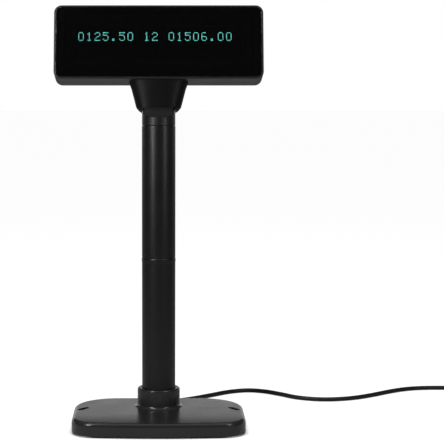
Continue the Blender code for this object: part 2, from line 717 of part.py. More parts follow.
def make_neck(tilt, head, looks):
    """The hood that hangs under the head and hides the tilt joint."""
    neck = piece("neck_shell", lofted(neck_loops(0)), looks["collar"], tilt)
    inside = neck_loops(NECK_WALL)[4:]
    lift = [[(x, y, z + 3 * MM) for x, y, z in inside[-1]]]
    slot_half = KNUCKLE_HALF + NECK_CLEAR
    deep = 4 * NECK_BOWL_HALF
    slot = block((2 * slot_half, deep, deep), (0, 0, -NECK_EDGE_DROP - deep / 2))
    rear_gap = block((2 * NECK_CHEEK - MM, deep, deep), (0, deep / 2, 6 * MM - deep / 2))
    swing = rod(POLE_RADIUS + NECK_CLEAR, -deep, NECK_CLEAR - PIVOT_ABOVE, ROUND)
    cuts = [lofted(inside + lift), slot, rear_gap]
    for step in range(SWING_STEPS + 1):
        turn = TILT_BACK - (TILT_BACK + TILT_FORWARD) * step / SWING_STEPS
        cuts.append(placed(swing, Matrix.Rotation(turn, 4, "X")))
    combine(neck, "DIFFERENCE", cuts, "MANIFOLD")
    lean = Matrix.Rotation(-LEAN, 4, "X")
    shank = SCREW_M3[0]
    bosses, pilots = [], []
    for x, y in neck_screw_places():
        boss = rod(NECK_POST, HEAD_ABOVE - 9 * MM, HEAD_ABOVE - 2 * GAP)
        pilot = rod(shank + HOLE_PLAY, HEAD_ABOVE - 8 * MM, HEAD_ABOVE + MM)
        bosses.append(placed(moved(boss, x, y), lean))
        pilots.append(placed(moved(pilot, x, y), lean))
    combine(neck, "UNION", bosses, "MANIFOLD")
    combine(neck, "DIFFERENCE", pilots, "MANIFOLD")
    for name, (x, y) in zip(("left", "right"), neck_screw_places()):
        body = placed(screw(SCREW_M3, 8 * MM), Matrix.Rotation(pi, 4, "X"))
        seat = HEAD_ABOVE + HEAD_WALL + GAP
        piece(f"neck_screw_{name}", moved(body, x, y, seat), looks["zinc"], head)


def neck_screw_places():
    """Screws that hold the neck to the bezel's floor, in the head's frame."""
    y = -FACE_AHEAD + BEZEL_DEPTH / 2
    x = NECK_TOP_HALF - NECK_WALL - 5 * MM
    return [(-x, y), (x, y)]


def plate_screw_places():
    """Screws that hold the tilt plates to the rear cover's floor, in the head's frame."""
    start = pin_stack()[3]
    x = start + FLANGE_WIDTH / 2 + 0.5 * MM
    middle = flange_middle()
    return [(side * x, middle + step) for side in (-1, 1) for step in (-3 * MM, 3 * MM)]


def flange_middle():
    """Middle of the tilt plates' flanges, under the rear cover's floor."""
    return -FACE_AHEAD + BEZEL_DEPTH + FLANGE_BEHIND + FLANGE_DEPTH / 2


# ---------------------------------------------------------------- head


def face_loop(inset, y, drop=0.0):
    """Outline of the head, inset by an amount, at a depth in the head's frame."""
    radius = max(HEAD_CORNER - inset, 1.5 * MM)
    middle = HEAD_ABOVE + HEAD_HEIGHT / 2 - drop
    outline = rounded_rectangle(HEAD_WIDTH - 2 * inset, HEAD_HEIGHT - 2 * inset, radius)
    return [(x, y, middle + z) for x, z in outline]


def cover_screw_places():
    """Corner screws from behind, from the middle of the head."""
    x = HEAD_WIDTH / 2 - HEAD_WALL - COVER_POST_INSET
    z = HEAD_HEIGHT / 2 - HEAD_WALL - COVER_POST_INSET
    return [(-x, -z), (x, -z), (-x, z), (x, z)]


def board_screw_places():
    """Posts behind the window ledge that carry the display board."""
    x = HEAD_WIDTH / 2 - BEZEL_RIM - LEDGE_WIDTH - 0.3 * MM
    z = BOARD_POST_SPREAD
    return [(-x, -z), (x, -z), (-x, z), (x, z)]


def make_housing(head, looks):
    """Bezel, smoked window, rear cover and the screws that hold them."""
    front = -FACE_AHEAD
    split = front + BEZEL_DEPTH
    back = front + HEAD_DEPTH
    middle = HEAD_ABOVE + HEAD_HEIGHT / 2
    shank, head_radius, head_thick = SCREW_M3
    seat = front + WINDOW_THICK + GAP
    ledge = BEZEL_RIM + LEDGE_WIDTH

    edge = arc((FACE_EDGE, front + FACE_EDGE), FACE_EDGE, 180, 270, 3)
    loops = [face_loop(0, split)]
    loops += [face_loop(inset, y) for inset, y in edge]
    loops += [face_loop(BEZEL_RIM, front), face_loop(BEZEL_RIM, seat)]
    loops += [face_loop(ledge, seat), face_loop(ledge, seat + LEDGE_THICK)]
    loops += [face_loop(HEAD_WALL, seat + LEDGE_THICK), face_loop(HEAD_WALL, split)]
    bezel = piece("front_bezel", lofted(loops, closed=True), looks["housing"], head)
    posts = []
    for x, z in cover_screw_places():
        posts.append(moved(along_y(rod(COVER_POST, seat + MM, split - 2 * MM)), x, 0, middle + z))
    for x, z in board_screw_places():
        reach = front + BOARD_BEHIND - GAP
        posts.append(moved(along_y(rod(BOARD_POST, seat + MM, reach)), x, 0, middle + z))
    combine(bezel, "UNION", posts)
    holes = []
    for x, z in cover_screw_places():
        holes.append(moved(along_y(rod(shank + HOLE_PLAY, split - 12 * MM, split)), x, 0, middle + z))
    for x, z in board_screw_places():
        hole = along_y(rod(SCREW_SMALL[0] + HOLE_PLAY, front + 7 * MM, split))
        holes.append(moved(hole, x, 0, middle + z))
    for x, y in neck_screw_places():
        holes.append(moved(rod(shank + HOLE_PLAY, HEAD_ABOVE - MM, HEAD_ABOVE + 3 * MM), x, y))
    combine(bezel, "DIFFERENCE", holes)

    fit, bevel = BEZEL_RIM + GAP, 0.2 * MM
    places = ((fit, front + WINDOW_THICK), (fit, front + bevel), (fit + bevel, front))
    pane = [face_loop(inset, y) for inset, y in places]
    piece("filter_window", lofted(pane), looks["window"], head)

    turn = arc((BACK_EDGE, back - BACK_EDGE), BACK_EDGE, 180, 90, 4)
    shell = [face_loop(BACK_EDGE + HEAD_WALL, back - HEAD_WALL), face_loop(HEAD_WALL, back - BACK_EDGE)]
    shell += [face_loop(HEAD_WALL, split + GAP), face_loop(0, split + GAP)]
    shell += [face_loop(inset, y) for inset, y in turn]
    rear = piece("rear_cover", lofted(shell), looks["housing"], head)
    towers = []
    for x, z in cover_screw_places():
        towers.append(moved(along_y(rod(COVER_POST, split + GAP, back - MM)), x, 0, middle + z))
    combine(rear, "UNION", towers)
    cuts = []
    for x, z in cover_screw_places():
        cuts.append(moved(along_y(rod(shank + HOLE_PLAY, split - MM, back + MM)), x, 0, middle + z))
        well = along_y(rod(head_radius + HOLE_PLAY, back - COVER_WELL, back + MM))
        cuts.append(moved(well, x, 0, middle + z))
    for x, y in plate_screw_places():
        cuts.append(moved(rod(shank + HOLE_PLAY, HEAD_ABOVE - MM, HEAD_ABOVE + 3 * MM), x, y))
    cuts.append(block((CABLE_SLOT[0], CABLE_SLOT[1], 8 * MM), (0, flange_middle(), HEAD_ABOVE)))
    for row in range(VENT_ROWS):
        z = middle + (row - (VENT_ROWS - 1) / 2) * VENT_PITCH
        for side in (-1, 1):
            cuts.append(block((VENT_SIZE[0], 4 * HEAD_WALL, VENT_SIZE[1]), (side * VENT_MIDDLE, back, z)))
    combine(rear, "DIFFERENCE", cuts)

    for number, (x, z) in enumerate(cover_screw_places(), 1):
        body = placed(along_y(screw(SCREW_M3, HEAD_DEPTH - BEZEL_DEPTH)), Matrix.Rotation(pi, 4, "Z"))
        place = (x, back - COVER_WELL + GAP, middle + z)
        piece(f"cover_screw_{number}", moved(body, *place), looks["zinc"], head)


def make_electronics(head, looks):
    """Gasket, display tube, boards, their parts and screws."""
    front = -FACE_AHEAD
    middle = HEAD_ABOVE + HEAD_HEIGHT / 2
    glass_middle = middle - VFD_DROP
    inset = BEZEL_RIM + LEDGE_WIDTH + BOARD_POST + 6 * GAP
    gasket_front = front + WINDOW_THICK + GAP
    loops = []
    for width, y in (
        (inset, gasket_front),
        (inset + GASKET_WIDTH, gasket_front),
        (inset + GASKET_WIDTH, gasket_front + GASKET_THICK),
        (inset, gasket_front + GASKET_THICK),
    ):
        loops.append(face_loop(width, y))
    piece("window_gasket", lofted(loops, closed=True), looks["foam"], head)

    glass_front = front + VFD_BEHIND
    tube = block(VFD_SIZE, (0, glass_front + VFD_SIZE[1] / 2, glass_middle))
    piece("display_tube", tube, looks["glass"], head)

    board_front = front + BOARD_BEHIND
    board_width = HEAD_WIDTH - 2 * (HEAD_WALL + MM)
    board_size = (board_width, BOARD_THICK, BOARD_HEIGHT)
    board_shape = block(board_size, (0, board_front + BOARD_THICK / 2, middle))
    board = piece("display_board", board_shape, looks["circuit"], head)
    drill = SCREW_SMALL[0] + HOLE_PLAY
    holes = [
        moved(along_y(rod(drill, board_front - MM, board_front + 3 * MM)), x, 0, middle + z)
        for x, z in board_screw_places()
    ]
    combine(board, "DIFFERENCE", holes)
    for number, (x, z) in enumerate(board_screw_places(), 1):
        body = placed(along_y(screw(SCREW_SMALL, 6 * MM)), Matrix.Rotation(pi, 4, "Z"))
        place = board_front + BOARD_THICK + GAP
        piece(f"board_screw_{number}", moved(body, x, place, middle + z), looks["zinc"], head)

    controller_front = front + CONTROLLER_BEHIND
    size = (CONTROLLER_SIZE[0], BOARD_THICK, CONTROLLER_SIZE[1])
    controller = block(size, (0, controller_front + BOARD_THICK / 2, middle + 2 * MM))
    piece("controller_board", controller, looks["circuit"], head)
    header_deep = CONTROLLER_BEHIND - BOARD_BEHIND - BOARD_THICK - 2 * GAP
    header_y = controller_front - GAP - header_deep / 2
    header = block((40 * MM, header_deep, 5 * MM), (0, header_y, middle + 18 * MM))
    piece("board_header", header, looks["inner_plastic"], head)
    behind = controller_front + BOARD_THICK + GAP
    transformer_place = (-38 * MM, behind + TRANSFORMER_SIZE[1] / 2, middle + 8 * MM)
    transformer = block(TRANSFORMER_SIZE, transformer_place)
    piece("supply_transformer", transformer, looks["foam"], head)
    socket_low = middle + 2 * MM - CONTROLLER_SIZE[1] / 2 + 2 * MM
    socket_place = (0, behind + CONNECTOR_SIZE[1] / 2, socket_low + CONNECTOR_SIZE[2] / 2)
    socket = block(CONNECTOR_SIZE, socket_place)
    piece("cable_socket", socket, looks["connector"], head)
    return behind + CONNECTOR_SIZE[1] / 2, socket_low


def make_tilt_plates(head, looks):
    """Two steel plates that carry the head on the tilt pin."""
    _, _, start, end = pin_stack()
    flange_high = HEAD_ABOVE - GAP
    flange_low = flange_high - TILT_PLATE
    back = flange_middle()
    shank = SCREW_M3[0]
    for side, name in ((-1, "left"), (1, "right")):
        outline = [(back - FLANGE_DEPTH / 2, flange_high), (back - FLANGE_DEPTH / 2, TILT_PLATE_RADIUS)]
        outline += arc((0, 0), TILT_PLATE_RADIUS, 170, 375, 14) + [(back + FLANGE_DEPTH / 2, flange_high)]
        web = across_x(outline, start, end)
        wing = block(
            (end - start + FLANGE_WIDTH - MM, FLANGE_DEPTH, TILT_PLATE),
            ((start + end + FLANGE_WIDTH + MM) / 2, back, (flange_low + flange_high) / 2),
        )
        mirror = Matrix.Scale(side, 4, (1, 0, 0))
        plate = piece(f"tilt_plate_{name}", placed(web, mirror), looks["steel"], head)
        combine(plate, "UNION", [placed(wing, mirror)])
        hole = along_x(rod(PIN_RADIUS + 0.1 * MM, start - MM, end + MM, 24))
        cuts = [placed(hole, mirror)]
        for x, y in plate_screw_places():
            if x * side > 0:
                cuts.append(moved(rod(shank + HOLE_PLAY, flange_low - MM, flange_high + MM), x, y))
        combine(plate, "DIFFERENCE", cuts)
    for number, (x, y) in enumerate(plate_screw_places(), 1):
        body = screw(SCREW_M3, TILT_PLATE + HEAD_WALL + 3 * MM)
        piece(f"plate_screw_{number}", moved(body, x, y, flange_low - GAP), looks["zinc"], head)


# ---------------------------------------------------------------- cables


def make_inner_cables(root, head, looks, socket_y, socket_low):
    """The cable inside the pole, and the short lead that hangs from the head's socket to the neck."""
    back = BASE_REAR - BASE_WALL - 2 * MM
    route = [
        (0, back - GAP, GLAND_HEIGHT),
        (0, back - 8 * MM, GLAND_HEIGHT),
        (0, POLE_RADIUS, GLAND_HEIGHT),
        (0, 8 * MM, 12 * MM),
        (0, 0, 32 * MM),
        (0, 0, 100 * MM),
        (0, 0, 200 * MM),
        (0, 0, POLE_TOP - SPIGOT_LENGTH - 4 * MM),
    ]
    cable("pole_cable", route, CORD_RADIUS, looks["cord"], 18 * MM, root)
    lead = [
        (0, socket_y, socket_low - GAP),
        (0, socket_y - 1 * MM, socket_low - 8 * MM),
        (0, flange_middle(), HEAD_ABOVE + 8 * MM),
        (0, flange_middle(), HEAD_ABOVE),
        (0, flange_middle() + MM, HEAD_ABOVE - 9 * MM),
    ]
    cable("head_lead", lead, CORD_RADIUS * 0.8, looks["cord"], 4 * MM, head)


def make_cord(root, looks):
    """Gland, free cord, coil with its tie, and the plug, laid on the counter."""
    gland_back = BASE_REAR + GLAND_LENGTH
    inside = BASE_REAR - BASE_WALL - 1.5 * MM
    profile = [
        (CORD_RADIUS + GAP, inside),
        (GLAND_RADIUS + 1.2 * MM, inside),
        (GLAND_RADIUS + 1.2 * MM, BASE_REAR - BASE_WALL - GAP),
        (GLAND_RADIUS, BASE_REAR - BASE_WALL - GAP),
        (GLAND_RADIUS, BASE_REAR + 1.5 * MM),
        (CORD_RADIUS + 0.9 * MM, gland_back),
        (CORD_RADIUS + GAP, gland_back),
    ]
    gland = moved(along_y(revolved(profile, 24)), z=GLAND_HEIGHT)
    piece("cable_gland", gland, looks["rubber"], root)

    cx, cy = COIL_MIDDLE
    wide = CORD_RADIUS * COIL_TURNS_WIDE + COIL_SLACK
    high = CORD_RADIUS * 2 * COIL_TURNS_HIGH + COIL_SLACK
    outer = COIL_RADIUS + wide
    coil = ring(COIL_RADIUS - wide, outer, 0, high)
    piece("cord_coil", moved(coil, cx, cy), looks["cord"], root)

    enter = COIL_RADIUS + wide - CORD_RADIUS
    stop = cx - sqrt(outer**2 - (enter - CORD_RADIUS) ** 2) - GAP
    start = (0, gland_back + GAP, GLAND_HEIGHT)
    route = [start] + [tuple(v * MM for v in p) for p in CORD_ROUTE_MM]
    route += [(stop, cy + enter, CORD_RADIUS)]
    cable("cord_lead", route, CORD_RADIUS, looks["cord"], 10 * MM, root)

    tie_inner = COIL_RADIUS - wide - 2 * GAP
    tie_high = high + GAP + TIE_THICK
    band_length = outer - tie_inner + 2 * TIE_THICK
    band_place = ((outer + tie_inner) / 2, 0, tie_high - TIE_THICK / 2)
    band = block((band_length, TIE_WIDTH, TIE_THICK), band_place)
    legs = [
        block((TIE_THICK, TIE_WIDTH, tie_high), (x, 0, tie_high / 2))
        for x in (tie_inner - TIE_THICK / 2, outer + GAP + TIE_THICK / 2)
    ]
    turn = Matrix.Translation((cx, cy, 0)) @ Matrix.Rotation(TIE_TURN, 4, "Z")
    tie = piece("coil_tie", placed(band, turn), looks["rubber"], root)
    combine(tie, "UNION", [placed(leg, turn) for leg in legs])

    tail_x = cx + enter
    tail_start = cy - sqrt(outer**2 - (enter - CORD_RADIUS) ** 2) - GAP
    grip_back = tail_start - 14 * MM
    grip_y = grip_back - PLUG_GRIP[1] / 2
    grip_z = PLUG_GRIP[2] / 2
    top_turn = CORD_RADIUS * (2 * COIL_TURNS_HIGH - 1)
    tail = [
        (tail_x, tail_start, top_turn),
        (tail_x, tail_start - 4 * MM, top_turn - 0.6 * MM),
        (tail_x, grip_back + 4 * MM, grip_z + 0.4 * MM),
        (tail_x, grip_back + GAP, grip_z),
    ]
    cable("cord_tail", tail, CORD_RADIUS, looks["cord"], 4 * MM, root)
    grip_outline = rounded_rectangle(PLUG_GRIP[0], PLUG_GRIP[1], 3 * MM)
    grip = moved(prism(grip_outline, 0, PLUG_GRIP[2]), tail_x, grip_y)
    piece("plug_grip", grip, looks["rubber"], root)
    shell_y = grip_y - PLUG_GRIP[1] / 2 - GAP - PLUG_SHELL[1] / 2
    shell = piece("plug_shell", block(PLUG_SHELL, (tail_x, shell_y, grip_z)), looks["steel"], root)
    mouth = (PLUG_SHELL[0] - 0.8 * MM, PLUG_SHELL[1], 1.9 * MM)
    mouth_z = grip_z + PLUG_SHELL[2] / 2 - 0.4 * MM - mouth[2] / 2
    combine(shell, "DIFFERENCE", [block(mouth, (tail_x, shell_y - 6 * MM, mouth_z))])


def clear_scene():
    """Removes whatever the scene starts with."""
    for old in list(bpy.data.objects):
        bpy.data.objects.remove(old)


def build():
    """Makes every piece of the display in its stored pose."""
    clear_scene()
    looks = {
        "base": finish("base_plastic", (0.03, 0.03, 0.03), 0.42),
        "tube": finish("tube_plastic", (0.02, 0.02, 0.021), 0.4),
        "collar": finish("neck_plastic", (0.018, 0.018, 0.02), 0.45),
        "housing": finish("housing_plastic", (0.02, 0.02, 0.02), 0.35),
        "window": finish("smoked_window", (0.004, 0.004, 0.004), 0.05),
        "glass": finish("tube_glass", (0.05, 0.06, 0.06), 0.1),
        "circuit": finish("circuit_board", (0.02, 0.12, 0.05), 0.5),
        "connector": finish("connector_plastic", (0.7, 0.68, 0.6), 0.5),
        "inner_plastic": finish("inner_plastic", (0.05, 0.05, 0.05), 0.6),
        "bush": finish("bush_plastic", (0.6, 0.6, 0.56), 0.5),
        "foam": finish("black_foam", (0.01, 0.01, 0.01), 0.9),
        "rubber": finish("rubber", (0.015, 0.015, 0.015), 0.7),
        "steel": finish("sheet_steel", (0.55, 0.55, 0.56), 0.35, 1.0),
        "zinc": finish("zinc_screw", (0.6, 0.6, 0.58), 0.3, 1.0),
        "cord": finish("cord_sheath", (0.015, 0.015, 0.016), 0.5),
    }
    root = empty("pole_axis", (0, POLE_Y, 0))
    swivel = empty("swivel_axis", (0, 0, PIVOT_HEIGHT), root)
    tilt = empty("tilt_axis", (0, 0, 0), swivel)
    head = empty("head_frame", (0, 0, 0), tilt, turn=-LEAN)
    make_base(root, looks)
    bush_low = make_pole(root, looks)
    make_swivel(swivel, looks, bush_low)
    make_neck(tilt, head, looks)
    make_housing(head, looks)
    socket_y, socket_low = make_electronics(head, looks)
    make_tilt_plates(head, looks)
    make_inner_cables(root, head, looks, socket_y, socket_low)
    make_cord(root, looks)


build()
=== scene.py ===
"""Looks of a customer pole display: a lit two-line head, a tilting neck, a two-piece pole and a weighted base.

Each sub-assembly is a class. Its sizes are dataclass fields in metres, and its shapes are numpy
surfaces: a profile of (radius, height) or (inset, height) rows carried round an outline.
"""

from __future__ import annotations

import json
import logging
import math
from dataclasses import dataclass, field
from enum import Enum
from typing import Any, Iterable, Sequence

import bmesh
import bpy
import numpy as np
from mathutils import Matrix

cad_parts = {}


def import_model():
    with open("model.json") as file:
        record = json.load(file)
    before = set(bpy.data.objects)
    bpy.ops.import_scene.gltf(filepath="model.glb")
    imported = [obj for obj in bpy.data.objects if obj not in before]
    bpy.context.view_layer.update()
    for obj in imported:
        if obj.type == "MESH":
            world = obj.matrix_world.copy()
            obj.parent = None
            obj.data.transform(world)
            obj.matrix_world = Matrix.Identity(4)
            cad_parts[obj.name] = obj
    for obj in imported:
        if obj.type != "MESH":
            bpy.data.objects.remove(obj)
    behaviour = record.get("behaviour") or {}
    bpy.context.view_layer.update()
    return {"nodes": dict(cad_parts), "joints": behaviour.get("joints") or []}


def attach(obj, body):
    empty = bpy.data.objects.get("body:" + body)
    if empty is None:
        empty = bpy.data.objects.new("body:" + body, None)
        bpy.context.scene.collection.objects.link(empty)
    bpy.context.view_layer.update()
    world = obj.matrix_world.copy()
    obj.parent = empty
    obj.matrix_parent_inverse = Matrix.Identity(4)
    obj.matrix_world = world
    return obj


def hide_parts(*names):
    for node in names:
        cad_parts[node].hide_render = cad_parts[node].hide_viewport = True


LOG = logging.getLogger("pole_display")
MM = 0.001
GAP = 0.3 * MM
Array = np.ndarray
Colour = tuple[float, float, float]


# ---------------------------------------------------------------- shapes


@dataclass
class Shape:
    """Points and faces of one or more closed solids.

    Attributes:
        points: Places, one row of x, y, z each.
        faces: Point numbers of each face.
    """

    points: Array
    faces: list[list[int]]

    def placed(self, matrix: Array) -> "Shape":
        """The same solid under a 4x4 matrix."""
        return Shape(self.points @ matrix[:3, :3].T + matrix[:3, 3], self.faces)

    def __add__(self, other: "Shape") -> "Shape":
        """Both solids, side by side in one shape."""
        start = len(self.points)
        faces = [[i + start for i in face] for face in other.faces]
        return Shape(np.vstack([self.points, other.points]), self.faces + faces)


def grid(points: Array, ring_rows: bool = False) -> Shape:
    """A surface on a grid whose columns go right round: quads between rows, capped at both ends.

    Args:
        points: Places on the grid, (rows, columns, 3).
        ring_rows: Whether the last row meets the first, as on a torus, so that it needs no caps.

    Returns:
        The closed solid.
    """
    rows, cols = points.shape[:2]
    low, side = np.meshgrid(np.arange(rows if ring_rows else rows - 1), np.arange(cols), indexing="ij")
    high, beside = (low + 1) % rows, (side + 1) % cols
    corners = [low * cols + side, low * cols + beside, high * cols + beside, high * cols + side]
    faces = np.stack(corners, axis=-1).reshape(-1, 4).tolist()
    if not ring_rows:
        faces.append(list(range(cols))[::-1])
        faces.append(list(range((rows - 1) * cols, rows * cols)))
    return Shape(points.reshape(-1, 3), faces)


def arc(centre: tuple[float, float], radius: float, start: float, end: float, steps: int) -> Array:
    """Points centre + radius (cos a, sin a), with a from start to end in degrees."""
    angle = np.radians(np.linspace(start, end, steps + 1))
    return np.stack([centre[0] + radius * np.cos(angle), centre[1] + radius * np.sin(angle)], axis=1)


def softened(corners: Sequence[tuple[float, float, float]], steps: int = 5, hold: float = 0.35 * MM) -> Array:
    """A profile whose corners are rounded, with a holding point beside each arc so that flats shade flat.

    Each corner P with radius r is cut back r·tan(half the turn) along both its sides, and the points
    between follow the circle that touches both.

    Args:
        corners: (first, second, radius) of each corner of an open profile.
        steps: Steps along each arc.
        hold: How far past an arc its holding point lies.

    Returns:
        The profile's points, (n, 2).
    """
    places = np.array([c[:2] for c in corners])
    out = [places[0]]
    for before, here, after, radius in zip(places, places[1:], places[2:], [c[2] for c in corners[1:-1]]):
        into, away = here - before, after - here
        reach_in, reach_out = np.linalg.norm(into), np.linalg.norm(away)
        into, away = into / reach_in, away / reach_out
        turn = math.atan2(into[0] * away[1] - into[1] * away[0], float(into @ away))
        if radius <= 0 or abs(turn) < 1e-4:
            out.append(here)
            continue
        back = radius * math.tan(abs(turn) / 2)
        if reach_in > back + 2 * hold:
            out.append(here - into * (back + hold))
        normal = np.array([-into[1], into[0]]) * math.copysign(radius, turn)
        middle = here - into * back + normal
        for share in np.linspace(0, turn, steps + 1):
            cosine, sine = math.cos(share), math.sin(share)
            out.append(middle - np.array([[cosine, -sine], [sine, cosine]]) @ normal)
        if reach_out > back + 2 * hold:
            out.append(here + away * (back + hold))
    out.append(places[-1])
    return np.array(out)


def turned(profile: Array | Sequence[tuple[float, float]], sides: int = 64, ring: bool = False) -> Shape:
    """A lathe shape about Z: (r cos a, r sin a, h) for each (r, h) of the profile and a round the circle."""
    profile = np.asarray(profile, float)
    angle = np.linspace(0, 2 * np.pi, sides, endpoint=False)
    across = np.stack([np.cos(angle), np.sin(angle), np.zeros(sides)], axis=1)
    points = profile[:, None, :1] * across[None] + profile[:, None, 1:] * np.array([0, 0, 1.0])
    return grid(points, ring)


def prism(outline: Array, low: float, high: float) -> Shape:
    """An outline in x, y raised from one height to another."""
    rows = [np.column_stack([outline, np.full(len(outline), z)]) for z in (low, high)]
    return grid(np.array(rows))


def rounded_outline(width: float, height: float, radius: float, steps: int = 10) -> Array:
    """A rounded rectangle about the origin, four quarter circles joined by straight sides."""
    x, y = width / 2 - radius, height / 2 - radius
    middles = (((x, y), 0), ((-x, y), 90), ((-x, -y), 180), ((x, -y), 270))
    return np.vstack([arc(middle, radius, turn, turn + 90, steps) for middle, turn in middles])


def stadium(length: float, width: float, steps: int = 12) -> Array:
    """A slot's outline along X, two half circles joined by straight sides."""
    reach = (length - width) / 2
    ends = arc((reach, 0), width / 2, -90, 90, steps), arc((-reach, 0), width / 2, 90, 270, steps)
    return np.vstack(ends)


def block(low: Sequence[float], high: Sequence[float]) -> Shape:
    """A cutter with square corners between two corners of its box."""
    outline = np.array([(low[0], low[1]), (high[0], low[1]), (high[0], high[1]), (low[0], high[1])])
    return prism(outline, low[2], high[2])


def shift(x: float = 0.0, y: float = 0.0, z: float = 0.0) -> Array:
    """A matrix that moves by x, y, z."""
    matrix = np.eye(4)
    matrix[:3, 3] = (x, y, z)
    return matrix


def spin(axis: str, degrees: float) -> Array:
    """A matrix that turns about X, Y or Z."""
    first, second = {"x": (1, 2), "y": (2, 0), "z": (0, 1)}[axis]
    cosine, sine = math.cos(math.radians(degrees)), math.sin(math.radians(degrees))
    matrix = np.eye(4)
    matrix[first, first] = matrix[second, second] = cosine
    matrix[first, second], matrix[second, first] = -sine, sine
    return matrix


ALONG_X = spin("y", 90)
ALONG_Y = spin("x", -90)
FROM_YZ = np.array([[0, 0, 1, 0], [1, 0, 0, 0], [0, 1, 0, 0], [0, 0, 0, 1.0]])


def swept(path: Array, section: Array) -> Shape:
    """A section carried along a path that lies in one upright plane, upright along the path's normal.

    Args:
        path: Points, (n, 3).
        section: Section points (side, out), side along the plane's normal.

    Returns:
        The capped solid.
    """
    along = np.gradient(path, axis=0)
    along /= np.linalg.norm(along, axis=1)[:, None]
    plane = np.cross(path[1] - path[0], path[len(path) // 2] - path[0])
    plane /= np.linalg.norm(plane)
    out = np.cross(along, plane)
    points = path[:, None] + section[None, :, :1] * plane + section[None, :, 1:] * out[:, None]
    return grid(points)


def smooth_path(route: Sequence[Sequence[float]], spacing: float) -> Array:
    """Points on a Catmull-Rom curve: on each span from b to c, a cubic that leaves b along c - a.

    Args:
        route: Places that the curve goes through.
        spacing: Distance between points, about.

    Returns:
        The curve's points, (n, 3).
    """
    places = np.array(route, float)
    ends = np.vstack([2 * places[0] - places[1], places, 2 * places[-1] - places[-2]])
    spans = []
    for a, b, c, d in zip(ends, ends[1:], ends[2:], ends[3:]):
        steps = max(2, round(float(np.linalg.norm(c - b)) / spacing))
        t = np.linspace(0, 1, steps, endpoint=False)[:, None]
        square, cube = (2 * a - 5 * b + 4 * c - d) * t**2, (3 * b - a - 3 * c + d) * t**3
        spans.append((2 * b + (c - a) * t + square + cube) / 2)
    return np.vstack([*spans, places[-1:]])


def pan_screw(head: float, thick: float, shank: float, length: float, pitch: float = 0.5 * MM) -> Shape:
    """A pan-head screw about Z, its seat at 0 and its thread upwards.

    The shank's radius is r - d·|2·frac(z/pitch - a/2π) - 1|, a triangular helical groove of depth d.

    Args:
        head: Radius of the head.
        thick: Height of the head.
        shank: Outer radius of the thread.
        length: Length of the shank.
        pitch: Rise of the thread in one turn.

    Returns:
        The screw, without its recess.
    """
    sides, rows = 20, max(8, round(length / pitch * 4))
    angle = np.linspace(0, 2 * np.pi, sides, endpoint=False)[None]
    height = np.linspace(0, length, rows)[:, None]
    wave = np.abs(2 * ((height / pitch - angle / (2 * np.pi)) % 1.0) - 1)
    radius = shank - 0.16 * shank * wave * np.clip(height / (2 * pitch), 0, 1)
    radius = radius * np.clip((length - height) / (2 * pitch) + 0.6, 0.6, 1.0)
    thread = np.stack([radius * np.cos(angle), radius * np.sin(angle), height + 0 * angle], axis=-1)
    dome = arc((head - thick * 0.7, -thick * 0.3), thick * 0.7, 0, -90, 6)
    cap = np.vstack([[(shank, 0.0), (head, 0.0)], dome, [(head * 0.05, -thick)]])
    across = np.concatenate([np.cos(angle), np.sin(angle), 0 * angle]).T
    top = cap[::-1, None, :1] * across[None] + cap[::-1, None, 1:] * np.array([0, 0, 1.0])
    return grid(np.vstack([top, thread[1:]]))


def cross_recess(head: float, thick: float) -> list[Shape]:
    """Two crossed blades that taper down into a screw's head, to cut its recess."""
    blades = []
    for turn in (0, 90):
        half, thin = head * 0.55, head * 0.11
        rows = []
        for size, z in ((1.25, -thick * 1.3), (1.0, -thick), (0.45, -thick * 0.3)):
            outline = rounded_outline(2 * half * size, 2 * thin * (0.5 + size / 2), thin * 0.4, 2)
            rows.append(np.column_stack([outline, np.full(len(outline), z)]))
        blades.append(grid(np.array(rows)).placed(spin("z", turn)))
    return blades


# ---------------------------------------------------------------- finishes


class Surface(Enum):
    """How a finish was made, which picks its pattern."""

    MOULDED = "moulded"
    BRUSHED = "brushed"
    WOVEN = "woven"


@dataclass(frozen=True)
class Finish:
    """One material of the display.

    Attributes:
        name: Its name.
        colour: Main colour, linear.
        tone: Share of the colour left in the pattern's hollows.
        rough: Roughness at its smoothest and roughest.
        fineness: Pattern features in a metre.
        depth: Height of the pattern, in metres.
        marks: Share of pale dust and handling marks.
        surface: The pattern.
        metallic: 1 for bare metal.
        coat: Weight of a clear gloss on top.
        clear: 1 for see-through pieces.
        specular: Specular level, 0.5 for ordinary plastic.
    """

    name: str
    colour: Colour
    tone: float = 0.8
    rough: tuple[float, float] = (0.35, 0.5)
    fineness: float = 2200.0
    depth: float = 0.02 * MM
    marks: float = 0.03
    surface: Surface = Surface.MOULDED
    metallic: float = 0.0
    coat: float = 0.0
    clear: float = 0.0
    specular: float = 0.5


